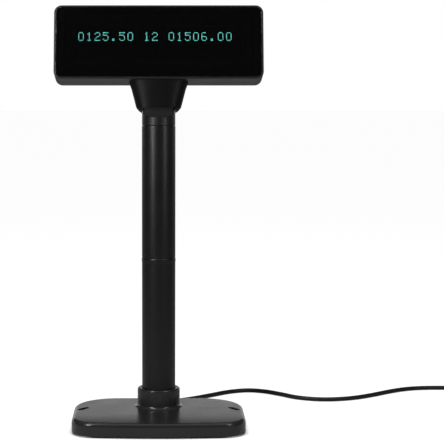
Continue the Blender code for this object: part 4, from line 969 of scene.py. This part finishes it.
@dataclass
class Swivel:
    """The turning collar with its moulded knuckle and ears, and what is on the tilt pin."""

    bowl: Bowl = field(default_factory=Bowl)
    radius: float = 17.5 * MM
    low: float = 0.3 * MM
    top: float = 13.8 * MM
    pin_above: float = 9 * MM
    spigot: tuple[float, float, float] = (12 * MM, 7 * MM, 19 * MM)
    knuckle_half: float = 16.6 * MM
    knuckle_wall: float = 1.8 * MM
    knuckle_top: float = -12.0
    shoulder: float = 6.5 * MM
    ear: tuple[float, float, float] = (8.5 * MM, 6 * MM, 10.5 * MM)
    washer: float = 0.6 * MM
    bush: float = 12 * MM

    def groove_top(self, below: float) -> float:
        """Top of the clip's groove on the spigot, under the washer and the bush, from the pole's top."""
        return below - GAP - self.washer - GAP - self.bush - GAP

    def drum_radius(self, x: float) -> float:
        """Radius of the drum at a distance to the side, which follows the inside of the neck's front."""
        half = self.bowl.edge_half() - self.bowl.wall
        front, rear = min(self.bowl.front) - self.bowl.wall, self.bowl.rear[0] - self.bowl.wall
        blunt = (1 - (abs(x) / half) ** self.bowl.square) ** (1 / self.bowl.square)
        return (front - rear) / 2 + (front + rear) / 2 * blunt - 0.5 * MM

    def knuckle(self) -> Shape:
        """Front of the drum: sections across x, an arc about the pin cut off below at the bowl's outline."""
        inner = self.drum_radius(self.knuckle_half) - self.knuckle_wall
        turn = math.degrees(math.asin(self.shoulder / inner))
        back = -8.5 * MM
        rows = []
        for x in self.knuckle_half * np.sin(np.linspace(-np.pi / 2, np.pi / 2, 41)):
            low = self.bowl.depth * math.sqrt(1 - (x / self.bowl.half) ** 2)
            round_edge = 0.8 * MM * (abs(x) / self.knuckle_half) ** 24
            outer = self.drum_radius(float(x)) - round_edge
            end = 180 + math.degrees(math.asin(low / outer))
            section = np.vstack([
                arc((0, 0), outer, 180 + self.knuckle_top, end, 28),
                [(back, -low), (back, -self.shoulder)],
                arc((0, 0), inner, 180 + turn, 180 + self.knuckle_top, 14),
            ])
            rows.append(np.column_stack([np.full(len(section), x), section]))
        return grid(np.array(rows))

    def hollow(self, floor: float) -> Shape:
        """Room for the tilt plates inside the drum, down to a floor."""
        inner = self.drum_radius(self.knuckle_half) - self.knuckle_wall
        end = 180 + math.degrees(math.asin(-floor / inner))
        outline = np.vstack([arc((0, 0), inner, 180 + 2 * self.knuckle_top, end, 20), [(0, floor), (0, self.ear[0])]])
        reach = self.knuckle_half - self.knuckle_wall
        return prism(outline, -reach, reach).placed(FROM_YZ)

    def build(self, shop: Workshop) -> None:
        """Makes the collar, the pin and its screw-cut end.

        Args:
            shop: Where pieces are made.
        """
        below = -self.pin_above - self.top
        top = -self.pin_above
        r, (spigot, bore, long) = self.radius, self.spigot
        groove_high = self.groove_top(below)
        groove_low = groove_high - 2.2 * MM
        low = below + self.low
        profile = [
            (bore, low - long), (spigot - 0.5 * MM, low - long), (spigot, low - long + 0.5 * MM),
            (spigot, groove_low), (spigot - 1.2 * MM, groove_low), (spigot - 1.2 * MM, groove_high),
            (spigot, groove_high), (spigot, low), (r - 0.5 * MM, low), (r - 0.15 * MM, low + 0.15 * MM),
            (r, low + 0.5 * MM), (r, low + 1 * MM), (r, low + 6 * MM), (r, top - 1.6 * MM),
            (r - 0.1 * MM, top - 0.7 * MM), (r - 0.35 * MM, top - 0.25 * MM), (r - 0.8 * MM, top), (bore, top),
        ]
        radius, near, far = self.ear
        arch = np.vstack([[(-radius, top - MM)], arc((0, 0), radius, 180, 0, 40), [(radius, top - MM)]])
        ears = [prism(arch, *sorted((side * near, side * far))).placed(FROM_YZ) for side in (1, -1)]
        hole = turned([(3.1 * MM, -17 * MM), (3.1 * MM, 17 * MM)], 48).placed(ALONG_X)
        collar = shop.make("swivel_head", turned(profile, 128, True), NECK_PLASTIC, "swivel",
                           stands_for=["swivel_collar"], place=shop.pin, joins=[self.knuckle()],
                           cuts=[self.hollow(top + 0.5 * MM)])
        shop.worked(collar, [ear.placed(shop.pin) for ear in ears], "UNION", "EXACT")
        shop.worked(collar, [hole.placed(shop.pin)], "DIFFERENCE", "EXACT")
        collar.data.shade_smooth()
        collar.data.set_sharp_from_angle(angle=math.radians(35))
        end = 13.9 * MM
        bolt = [(0.2 * MM, -end - 2.2 * MM), (4.4 * MM, -end - 2.2 * MM), (5.2 * MM, -end - 1.9 * MM),
                (5.6 * MM, -end - 1.2 * MM), (5.6 * MM, -end), (3 * MM, -end), (3 * MM, end - MM)]
        turns = np.linspace(end - MM, end + 3.4 * MM, 27)
        bolt += [(3 * MM - 0.25 * MM * (i % 2), z) for i, z in enumerate(turns)]
        shop.make("pivot_bolt", turned(bolt, 48), ZINC, "swivel", stands_for=["tilt_pin"],
                  place=shop.pin @ ALONG_X)


# ---------------------------------------------------------------- head


@dataclass
class Head:
    """The display head: neck hood, bezel, window, lit characters and rear housing."""

    bowl: Bowl = field(default_factory=Bowl)
    width: float = 217 * MM
    height: float = 78 * MM
    depth: float = 34 * MM
    corner: float = 8 * MM
    wall: float = 2.2 * MM
    ahead: float = 30.6 * MM
    above: float = 19.7 * MM
    bezel_depth: float = 19 * MM
    rim: float = 1.8 * MM
    face_edge: float = 1 * MM
    back_edge: float = 3 * MM
    window_thick: float = 2 * MM
    ledge: tuple[float, float] = (3.8 * MM, 2 * MM)
    pitch: float = 8.51 * MM
    dot: tuple[float, float, float, float] = (1.2 * MM, 1.36 * MM, 0.68 * MM, 0.86 * MM)
    first_left: float = -83.5 * MM
    row_up: float = 6.5 * MM

    @property
    def front(self) -> float:
        """Depth of the face in the head's axes."""
        return -self.ahead

    @property
    def middle(self) -> float:
        """Height of the face's centre in the head's axes."""
        return self.above + self.height / 2

    def loop(self, inset: float, y: float) -> Array:
        """Outline of the head at a depth, moved in by an inset."""
        radius = max(self.corner - inset, 1.5 * MM)
        outline = rounded_outline(self.width - 2 * inset, self.height - 2 * inset, radius, 12)
        return np.column_stack([outline[:, 0], np.full(len(outline), y), outline[:, 1] + self.middle])

    def carried(self, profile: Array | Sequence[tuple[float, float]], ring: bool) -> Shape:
        """A profile of (inset, depth) rows carried round the head's outline."""
        return grid(np.array([self.loop(inset, y) for inset, y in profile]), ring)

    def posts(self, inset: float) -> list[tuple[float, float]]:
        """Places near the four corners, from the middle of the face."""
        x, z = self.width / 2 - inset, self.height / 2 - inset
        return [(-x, -z), (x, -z), (-x, z), (x, z)]

    def rod_y(self, radius: float, low: float, high: float, x: float, z: float) -> Shape:
        """A straight rod along the head's depth."""
        return turned([(radius, low), (radius, high)], 40).placed(shift(x, 0, self.middle + z) @ ALONG_Y)

    def make_hood(self, shop: Workshop) -> None:
        """The neck: one moulded hood, hollow inside, cut open below for the knuckle's swing."""
        lean = math.radians(shop.lean)

        def under(y: Array) -> Array:
            """Height of the head's underside, less a gap."""
            return (self.above - GAP - y * math.sin(lean)) / math.cos(lean)

        outside = grid(self.bowl.rows(0, under))
        inside = self.bowl.rows(self.bowl.wall, under)[12:]
        lift = inside[-1:] + np.array([0, 0, 3 * MM])
        big = 80 * MM
        half, cheek = 17.1 * MM, self.bowl.half - 3.8 * MM - 0.5 * MM
        swing = turned([(18.15 * MM, -big), (18.15 * MM, -8.5 * MM)], 128)
        cuts = [grid(np.vstack([inside, lift])), block((-half, -big, -big), (half, big, -self.bowl.drop)),
                block((-cheek, 0, -big), (cheek, big, 6 * MM))]
        cuts += [swing.placed(spin("x", turn)) for turn in (17, 13.25, 9.5, 5.75, 2, -1.75, -5.5, -9.25, -13)]
        # The hood takes the darker finish, which is painted shade.
        hood = shop.make("neck_hood", outside, HOOD_PAINTED_SHADE, "head", ["neck_shell"], shop.pin,
                         cuts=cuts, solver="MANIFOLD", sharp=32)
        places = [(side * (self.bowl.top_half - self.bowl.wall - 5 * MM), self.front + self.bezel_depth / 2)
                  for side in (-1, 1)]
        bosses = [turned([(2.6 * MM, self.above - 6.2 * MM), (2.6 * MM, self.above - 0.6 * MM)], 32)
                  .placed(shop.head @ shift(x, y)) for x, y in places]
        pilots = [turned([(1.8 * MM, self.above - 5.8 * MM), (1.8 * MM, self.above + MM)], 24)
                  .placed(shop.head @ shift(x, y)) for x, y in places]
        ribs = [block((min(side * 16.8, side * 18.5) * MM, -3.5 * MM, -8.2 * MM),
                      (max(side * 16.8, side * 18.5) * MM, -0.8 * MM, -3.4 * MM)).placed(shop.pin)
                for side in (-1, 1)]
        shop.worked(hood, [*bosses, *ribs], "UNION", "MANIFOLD")
        shop.worked(hood, pilots, "DIFFERENCE", "MANIFOLD")
        hood.data.shade_smooth()
        hood.data.set_sharp_from_angle(angle=math.radians(32))

    def make_housing(self, shop: Workshop) -> None:
        """Bezel, window pane and rear housing with its vents, and the screws behind."""
        front, split, back = self.front, self.front + self.bezel_depth, self.front + self.depth
        seat = front + self.window_thick + GAP
        ledge, thick = self.ledge
        bezel = softened([
            (self.wall, split, 0), (0, split, 0.15 * MM), (0, front, self.face_edge),
            (self.rim, front, 0.15 * MM), (self.rim, seat, 0), (self.rim + ledge, seat, 0),
            (self.rim + ledge, seat + thick, 0), (self.wall, seat + thick, 0), (self.wall, split, 0)], 7)
        posts = self.posts(self.wall + 4.5 * MM)
        board_x = self.width / 2 - self.rim - ledge - 0.3 * MM
        board_z = (self.height - 24 * MM) / 2 - 7 * MM
        boards = [(-board_x, -board_z), (board_x, -board_z), (-board_x, board_z), (board_x, board_z)]
        joins = [self.rod_y(4.2 * MM, seat + MM, split - 2 * MM, x, z) for x, z in posts]
        joins += [self.rod_y(2.6 * MM, seat + MM, front + 13.3 * MM, x, z) for x, z in boards]
        cuts = [self.rod_y(1.8 * MM, split - 12 * MM, split, x, z) for x, z in posts]
        cuts += [self.rod_y(1.4 * MM, front + 7 * MM, split, x, z) for x, z in boards]
        for side in (-1, 1):
            hole = turned([(1.8 * MM, self.above - MM), (1.8 * MM, self.above + 3 * MM)], 32)
            x = side * (self.bowl.top_half - self.bowl.wall - 5 * MM)
            cuts.append(hole.placed(shift(x, front + self.bezel_depth / 2)))
        shop.make("display_bezel", self.carried(bezel[:-1], True), HOUSING_PLASTIC, "head",
                  stands_for=["front_bezel"], place=shop.head, joins=joins, cuts=cuts)
        fit = self.rim + GAP
        pane = [(fit, front + self.window_thick), (fit, front + 0.2 * MM), (fit + 0.06 * MM, front + 0.06 * MM),
                (fit + 0.2 * MM, front), (fit + 0.6 * MM, front)]
        shop.make("window_pane", self.carried(pane, False), WINDOW, "head", stands_for=["filter_window"],
                  place=shop.head)
        shell = softened([(self.back_edge + self.wall, back - self.wall, 0), (self.wall, back - self.wall, 0.8 * MM),
                          (self.wall, split + GAP, 0), (0, split + GAP, 0.15 * MM), (0, back, self.back_edge),
                          (self.back_edge + 3 * MM, back, 0)], 10)
        towers = [self.rod_y(4.2 * MM, split + GAP, back - MM, x, z) for x, z in posts]
        cuts = []
        for x, z in posts:
            cuts += [self.rod_y(1.8 * MM, split - MM, back + MM, x, z),
                     self.rod_y(3.1 * MM, back - 5 * MM, back + MM, x, z)]
        start = 13.4 * MM + 6.5 * MM / 2 + 0.5 * MM
        flange = split + 6 * MM
        for side in (-1, 1):
            for step in (-3 * MM, 3 * MM):
                hole = turned([(1.8 * MM, self.above - MM), (1.8 * MM, self.above + 3 * MM)], 32)
                cuts.append(hole.placed(shift(side * start, flange + step)))
        cuts.append(prism(rounded_outline(16 * MM, 8 * MM, 1.5 * MM, 4), -4 * MM, 4 * MM)
                    .placed(shift(0, flange, self.above)))
        vent = prism(stadium(26 * MM, 1.6 * MM), back - 5 * MM, back + 5 * MM)
        upright = np.array([[1, 0, 0, 0], [0, 0, 1, 0], [0, -1, 0, 0], [0, 0, 0, 1.0]])
        for row in range(5):
            for side in (-1, 1):
                cuts.append(vent.placed(shift(side * 48 * MM, 0, self.middle + (row - 2) * 5 * MM) @ upright))
        shop.make("rear_housing", self.carried(shell, False), HOUSING_PLASTIC, "head",
                  stands_for=["rear_cover"], place=shop.head, joins=towers, cuts=cuts)
        for number, (x, z) in enumerate(posts, 1):
            place = shop.head @ shift(x, back - 4.7 * MM, self.middle + z) @ spin("x", 90)
            shop.make(f"housing_screw_{number}", pan_screw(2.8 * MM, 1.6 * MM, 1.5 * MM, 15 * MM), ZINC, "head",
                      stands_for=[f"cover_screw_{number}"], place=place, cuts=cross_recess(2.8 * MM, 1.6 * MM))

    def make_characters(self, shop: Workshop) -> None:
        """The lit characters: small raised dots on the display tube, five across and seven down each."""
        across, down, wide, tall = self.dot
        glass = self.front + 4.6 * MM
        dots: Shape | None = None
        left = self.first_left
        for character in "0125.50 12 01506.00":
            for row, bits in enumerate(DOTS.get(character, ())):
                for column in range(5):
                    if not bits >> (4 - column) & 1:
                        continue
                    x = left + column * across + across / 2
                    z = self.middle + self.row_up + (3 - row) * down
                    outline = rounded_outline(wide, tall, 0.28 * MM, 2)
                    rows = [np.column_stack([o[:, 0] + x, np.full(len(o), y), o[:, 1] + z])
                            for o, y in ((outline, glass - 0.02 * MM), (outline * 0.94, glass - 0.12 * MM))]
                    dot = grid(np.array(rows))
                    dots = dot if dots is None else dots + dot
            left += self.pitch
        glow = shop.palette.glow("phosphor", (0.24, 0.9, 0.82), 10.0)
        piece = shop.make("lit_characters", dots, TUBE_GLASS, "head", place=shop.head)
        piece.data.materials.clear()
        piece.data.materials.append(glow)


DOTS = {
    "0": (0b01110, 0b10001, 0b10001, 0b10001, 0b10001, 0b10001, 0b01110),
    "1": (0b00100, 0b01100, 0b00100, 0b00100, 0b00100, 0b00100, 0b01110),
    "2": (0b01110, 0b10001, 0b00001, 0b00110, 0b01000, 0b10000, 0b11111),
    "5": (0b11111, 0b10000, 0b11110, 0b00001, 0b00001, 0b10001, 0b01110),
    "6": (0b01110, 0b10000, 0b10000, 0b11110, 0b10001, 0b10001, 0b01110),
    ".": (0, 0, 0, 0, 0, 0b01100, 0b01100),
}


# ---------------------------------------------------------------- cord


@dataclass
class Lead:
    """The cord on the counter, from the base to its plug, with its strain relief, coil and strap."""

    radius: float = 2.25 * MM
    exit_y: float = 55.3 * MM
    exit_z: float = 6.5 * MM
    base_rear: float = 41 * MM
    coil: tuple[float, float] = (368 * MM, 130 * MM)
    turn_radii: tuple[float, ...] = (31.75 * MM, 27.25 * MM, 22.75 * MM, 18.25 * MM)
    enter: float = 32.25 * MM
    per_turn: int = 40
    length: float = 1.78
    route: tuple[tuple[float, float, float], ...] = (
        (0, 62, 5.0), (4, 76, 3.0), (17, 87, 2.3), (38, 101, 2.3), (60, 120, 2.3), (82, 139, 2.3),
        (104, 147.5, 2.3), (124, 141, 2.3), (142, 124.5, 2.3), (158, 107.5, 2.3), (180, 97.5, 2.3),
        (202, 98, 2.3), (224, 106, 2.3), (246, 121.5, 2.3), (270, 142, 2.3), (292, 156, 2.3), (316, 162, 2.3),
    )

    def winding(self) -> Array:
        """Four turns inwards on the counter and four outwards on top of them, then a quarter turn.

        Each turn keeps its radius, then eases to the next one over its last fifth, and the fourth
        also rises by a diameter over its last third.
        """
        radii = [self.enter - 0.5 * MM, *self.turn_radii[1:], *self.turn_radii[::-1]]
        turns = np.linspace(0, 8.25, round(8.25 * self.per_turn) + 1)
        whole = np.minimum(turns.astype(int), 8)
        share = turns - whole
        ease = np.clip((share - 0.78) / 0.22, 0, 1)
        ease = ease**2 * (3 - 2 * ease)
        table = np.array([*radii, radii[-1]])
        following = np.array([*radii[1:], radii[-1], radii[-1]])
        radius = table[whole] + (following[whole] - table[whole]) * ease
        rise = np.clip((turns - 3.62) / 0.36, 0, 1)
        rise = rise**2 * (3 - 2 * rise)
        height = self.radius * (1 + 2 * rise)
        angle = np.pi / 2 - 2 * np.pi * turns
        blend = np.clip(turns / 0.1, 0, 1) - np.clip((turns - 8.15) / 0.1, 0, 1)
        radius = radius + 0.5 * MM * (1 - blend)
        return np.column_stack([self.coil[0] + radius * np.cos(angle), self.coil[1] + radius * np.sin(angle), height])

    def path(self) -> Array:
        """The cord's whole centreline, from the pole's axis."""
        start = [(0.0, self.exit_y, self.exit_z)]
        free = start + [tuple(v * MM for v in p) for p in self.route]
        free += [(self.coil[0] - 17.34 * MM, self.coil[1] + self.enter, self.radius)]
        x, y = self.coil[0] + self.enter, self.coil[1]
        tail = smooth_path([(x, y, 6.75 * MM), (x, y - 10 * MM, 6.75 * MM), (x, y - 17.34 * MM, 6.7 * MM),
                            (x, y - 21.3 * MM, 6.1 * MM), (x, 102.7 * MM, 4.4 * MM), (x, 98.96 * MM, 4 * MM)], 2 * MM)
        return np.vstack([smooth_path(free, 3 * MM), self.winding(), tail[1:]])

    def make_relief(self, shop: Workshop) -> Any:
        """Tapered strain relief: r falls evenly outwards, with four ribs where it is grooved to bend."""
        y = np.linspace(self.base_rear + 1.5 * MM, self.exit_y - 0.4 * MM, 49)
        share = (y - y[0]) / (y[-1] - y[0])
        ribs = np.clip(np.sin(share * 2 * np.pi * 4.5) * 3, -1, 1)
        radius = 4 * MM + (3.15 * MM - 4 * MM) * share + 0.22 * MM * ribs * np.clip(share * 8, 0, 1)
        inner = self.radius + 0.15 * MM
        inside = self.base_rear - 4 * MM
        profile = [(inner, inside), (5.2 * MM, inside), (5.2 * MM, inside + 1.2 * MM), (4 * MM, inside + 1.2 * MM),
                   *zip(radius, y), (inner + 0.2 * MM, self.exit_y - 0.05 * MM), (inner, self.exit_y - 0.05 * MM)]
        place = shop.stand @ shift(z=self.exit_z) @ ALONG_Y
        return shop.make("strain_relief", turned(profile, 64, True), RUBBER, "stand", stands_for=["cable_gland"],
                         place=place)

    def make_strap(self, shop: Workshop) -> None:
        """Hook-and-loop strap over the coil: an arch carried across."""
        inner, outer, high = 14.1 * MM, 35.4 * MM, 10.4 * MM
        arch = softened([(inner, 0.3 * MM, 0), (inner, high, 2.6 * MM), (outer, high, 2.6 * MM),
                         (outer, 0.3 * MM, 0)], 10)
        path = np.column_stack([arch[:, 0], np.zeros(len(arch)), arch[:, 1]])
        section = rounded_outline(6 * MM, 1.1 * MM, 0.35 * MM, 4)
        place = shop.stand @ shift(*self.coil) @ spin("z", 215)
        shop.make("coil_strap", swept(path, section), STRAP, "stand", stands_for=["coil_tie"],
                  place=place)

    def make_plug(self, shop: Workshop) -> list[Any]:
        """The flat data plug: a moulded grip with finger ribs, and its steel shell round a tongue."""
        x = self.coil[0] + self.enter
        rows = []
        for y, size in ((0.05, 0.45), (0.3, 0.72), (1.2, 0.88), (3.0, 0.97), (6.0, 1.0)):
            rows.append((y, size))
        for i, y in enumerate(np.linspace(7.5, 22.5, 21)):
            rows.append((y, 1.0 - 0.045 * (i % 4 in (1, 2))))
        rows += [(24, 1.0), (28, 0.97), (29.3, 0.93), (29.95, 0.8)]
        loops = []
        for y, size in rows:
            outline = rounded_outline(16 * MM * size, 8 * MM * (0.35 + 0.65 * size), 2.2 * MM * size, 6)
            loops.append(np.column_stack([outline[:, 0], np.full(len(outline), 98.66 * MM - y * MM), outline[:, 1]]))
        grip = shop.make("plug_body", grid(np.array(loops)), RUBBER, "stand", stands_for=["plug_grip"],
                         place=shop.stand @ shift(x, 0, 4 * MM))
        outer = rounded_outline(12 * MM, 4.5 * MM, 0.7 * MM, 4)
        inner = rounded_outline(11.4 * MM, 3.9 * MM, 0.4 * MM, 4)
        shell_rows = [(inner, 68.3), (outer, 68.3), (outer, 49.9), (outer * 0.985, 49.7), (inner, 49.75)]
        loops = [np.column_stack([o[:, 0], np.full(len(o), y * MM), o[:, 1]]) for o, y in shell_rows]
        holes = [block((side * 2.6 * MM - 1.2 * MM, 55 * MM, 1 * MM), (side * 2.6 * MM + 1.2 * MM, 57 * MM, 4 * MM))
                 for side in (-1, 1)]
        shell = shop.make("plug_steel", grid(np.array(loops), True), STEEL, "stand",
                          stands_for=["plug_shell"], place=shop.stand @ shift(x, 0, 4 * MM), cuts=holes)
        tongue_outline = rounded_outline(11.2 * MM, 1.8 * MM, 0.2 * MM, 2)
        rows = [np.column_stack([tongue_outline[:, 0], np.full(len(tongue_outline), y * MM),
                                 tongue_outline[:, 1] - 0.95 * MM]) for y in (68.2, 50.6)]
        tongue = shop.make("plug_tongue", grid(np.array(rows)), CONNECTOR, "stand",
                           place=shop.stand @ shift(x, 0, 4 * MM))
        return [grip, shell, tongue]

    def build(self, shop: Workshop) -> None:
        """Makes the strain relief, plug and strap, and the cord itself as one open curve.

        Args:
            shop: Where pieces are made.
        """
        relief = self.make_relief(shop)
        plug = self.make_plug(shop)
        self.make_strap(shop)
        points = self.path() + np.array([0, shop.pole_y, 0])
        curve = bpy.data.curves.new("data_cord", "CURVE")
        curve.dimensions = "3D"
        curve.bevel_depth = self.radius
        curve.bevel_resolution = 5
        curve.use_fill_caps = True
        line = curve.splines.new("POLY")
        line.points.add(len(points) - 1)
        line.points.foreach_set("co", np.column_stack([points, np.ones(len(points))]).ravel())
        curve.materials.append(shop.palette.material(CORD))
        piece = bpy.data.objects.new("data_cord", curve)
        bpy.context.scene.collection.objects.link(piece)
        shop.finish_piece(piece, "stand", ["cord_lead", "cord_coil", "cord_tail"])
        steps = np.linalg.norm(np.diff(points, axis=0), axis=1)
        LOG.info("cord is %.3f m long", steps.sum())


# ---------------------------------------------------------------- studio


@dataclass
class Studio:
    """Floor, lights, surroundings and camera."""

    pole_y: float
    camera_back: float = 1.537
    camera_up: float = 0.347
    pitch_down: float = 5.0
    lens: float = 118.46
    shift_x: float = 0.1426

    def make_camera(self) -> None:
        """A long lens in front of the pole, pitched down a little and framed off to one side."""
        data = bpy.data.cameras.new("view")
        data.lens, data.sensor_width = self.lens, 36.0
        data.shift_x = self.shift_x
        data.clip_start, data.clip_end = 0.05, 60
        camera = bpy.data.objects.new("view", data)
        camera.location = (0, self.pole_y - self.camera_back, self.camera_up)
        camera.rotation_euler = (math.radians(90 - self.pitch_down), 0, 0)
        bpy.context.scene.collection.objects.link(camera)
        bpy.context.scene.camera = camera

    def make_floor(self) -> None:
        """A wide pale counter, bright to the eye and plain grey to what stands on it; its glow dims close to what
        stands on it, a painted contact shadow.
        """
        mesh = bpy.data.meshes.new("counter")
        reach = 30.0
        mesh.from_pydata([(-reach, -reach, 0), (reach, -reach, 0), (reach, reach, 0), (-reach, reach, 0)], [],
                         [(0, 1, 2, 3)])
        floor = bpy.data.objects.new("counter", mesh)
        bpy.context.scene.collection.objects.link(floor)
        look = bpy.data.materials.new("counter")
        look.use_nodes = True
        tree = look.node_tree
        tree.nodes.clear()
        out = tree.nodes.new("ShaderNodeOutputMaterial")
        pale, glow, both = (tree.nodes.new(f"ShaderNode{kind}") for kind in ("BsdfDiffuse", "Emission", "AddShader"))
        grey, seen = tree.nodes.new("ShaderNodeBsdfDiffuse"), tree.nodes.new("ShaderNodeMixShader")
        pale.inputs["Color"].default_value = (0.35, 0.35, 0.35, 1)
        grey.inputs["Color"].default_value = (0.65, 0.65, 0.65, 1)
        glow.inputs["Color"].default_value = (1, 1, 1, 1)
        # Painted contact shadow: the counter's glow is scaled by ambient occlusion, so it darkens close to the base,
        # feet and cord.
        near = tree.nodes.new("ShaderNodeAmbientOcclusion")
        near.samples = 8
        near.inputs["Distance"].default_value = 9 * MM
        painted_contact_shadow = tree.nodes.new("ShaderNodeMapRange")
        painted_contact_shadow.interpolation_type = "SMOOTHSTEP"
        painted_contact_shadow.inputs["From Min"].default_value, painted_contact_shadow.inputs["From Max"].default_value = 0.3, 0.85
        painted_contact_shadow.inputs["To Max"].default_value = 0.93
        tree.links.new(near.outputs["AO"], painted_contact_shadow.inputs["Value"])
        tree.links.new(painted_contact_shadow.outputs["Result"], glow.inputs["Strength"])
        path = tree.nodes.new("ShaderNodeLightPath")
        links = tree.links
        links.new(pale.outputs[0], both.inputs[0])
        links.new(glow.outputs[0], both.inputs[1])
        links.new(path.outputs["Is Camera Ray"], seen.inputs[0])
        links.new(grey.outputs[0], seen.inputs[1])
        links.new(both.outputs[0], seen.inputs[2])
        links.new(seen.outputs[0], out.inputs["Surface"])
        mesh.materials.append(look)

    def make_world(self) -> None:
        """White to the eye, dim to the object, with a bright band low down behind it."""
        world = bpy.data.worlds.new("studio")
        bpy.context.scene.world = world
        world.use_nodes = True
        tree = world.node_tree
        tree.nodes.clear()
        out = tree.nodes.new("ShaderNodeOutputWorld")
        way = tree.nodes.new("ShaderNodeTexCoord").outputs["Generated"]
        parts = tree.nodes.new("ShaderNodeSeparateXYZ")
        tree.links.new(way, parts.inputs[0])

        def ramp(value: Any, low: float, high: float) -> Any:
            """A smooth step of a value from 0 at low to 1 at high."""
            node = tree.nodes.new("ShaderNodeMapRange")
            node.interpolation_type = "SMOOTHSTEP"
            node.inputs["From Min"].default_value, node.inputs["From Max"].default_value = low, high
            tree.links.new(value, node.inputs["Value"])
            return node.outputs["Result"]

        behind = ramp(parts.outputs["Y"], 0.2, 0.85)
        low = ramp(parts.outputs["Z"], 0.262, 0.198)
        band = Palette._math(tree, "MULTIPLY", behind, low)
        above = ramp(parts.outputs["Z"], 0.55, 0.95)
        light = Palette._math(tree, "ADD", Palette._math(tree, "MULTIPLY", band, 0.92),
                              Palette._math(tree, "MULTIPLY", above, 0.14))
        light = Palette._math(tree, "ADD", light, 0.05)
        dim, white = tree.nodes.new("ShaderNodeBackground"), tree.nodes.new("ShaderNodeBackground")
        tree.links.new(light, dim.inputs["Strength"])
        seen, path = tree.nodes.new("ShaderNodeMixShader"), tree.nodes.new("ShaderNodeLightPath")
        tree.links.new(path.outputs["Is Camera Ray"], seen.inputs[0])
        tree.links.new(dim.outputs[0], seen.inputs[1])
        tree.links.new(white.outputs[0], seen.inputs[2])
        tree.links.new(seen.outputs[0], out.inputs["Surface"])
        for node in (dim, white):
            node.inputs["Color"].default_value = (1, 1, 1, 1)
        white.inputs["Strength"].default_value = 1.0

    def softbox(self, name: str, azimuth: float, away: float, low: float, high: float, width: float,
                power: float) -> None:
        """An upright area light that faces the pole.

        Args:
            name: Name of the light.
            azimuth: Its direction from the camera's side, in degrees to the right.
            away: Its distance from the pole.
            low: Height of its lower edge.
            high: Height of its upper edge.
            width: Its width.
            power: Its power in watts.
        """
        data = bpy.data.lights.new(name, "AREA")
        data.shape, data.size, data.size_y, data.energy = "RECTANGLE", width, high - low, power
        turn = math.radians(azimuth)
        light = bpy.data.objects.new(name, data)
        light.location = (away * math.sin(turn), self.pole_y - away * math.cos(turn), (low + high) / 2)
        light.rotation_euler = (math.radians(90), 0, turn)
        light.visible_camera = False
        bpy.context.scene.collection.objects.link(light)

    def build(self) -> None:
        """Makes everything round the object."""
        self.make_camera()
        self.make_floor()
        self.make_world()
        self.softbox("left_box", -41, 0.65, 0.29, 1.5, 0.13, 6.6)
        self.softbox("right_box", 44, 0.65, 0.29, 1.5, 0.08, 2.7)
        data = bpy.data.lights.new("top_box", "AREA")
        data.shape, data.size, data.size_y, data.energy = "RECTANGLE", 1.6, 1.2, 4
        top = bpy.data.objects.new("top_box", data)
        top.location = (0, self.pole_y + 0.1, 1.9)
        top.visible_camera = False
        bpy.context.scene.collection.objects.link(top)
        view = bpy.context.scene.view_settings
        view.view_transform, view.look, view.exposure, view.gamma = "Standard", "None", 0.0, 1.0


# ---------------------------------------------------------------- all of it


def main() -> None:
    """Loads the frame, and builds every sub-assembly and the studio."""
    logging.basicConfig(level=logging.INFO, format="%(name)s: %(message)s")
    for name in ("Cube", "Light", "Camera"):
        if name in bpy.data.objects:
            bpy.data.objects.remove(bpy.data.objects[name])
    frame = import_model()
    tilt = next(j for j in frame["joints"] if j["name"] == "tilt")
    shop = Workshop(Palette(), pole_y=tilt["pos_m"][1], pivot_z=tilt["pos_m"][2])
    Studio(shop.pole_y).build()
    Lead().build(shop)
    Base().build(shop)
    Pole().build(shop)
    Swivel().build(shop)
    head = Head()
    head.make_hood(shop)
    head.make_housing(shop)
    head.make_characters(shop)
    for name, finish in KEPT_NODES.items():
        node = frame["nodes"][name]
        node.data.materials.clear()
        node.data.materials.append(shop.palette.material(finish))
        LOG.info("%s kept, in %s", name, finish.name)


if __name__ == "__main__":
    main()
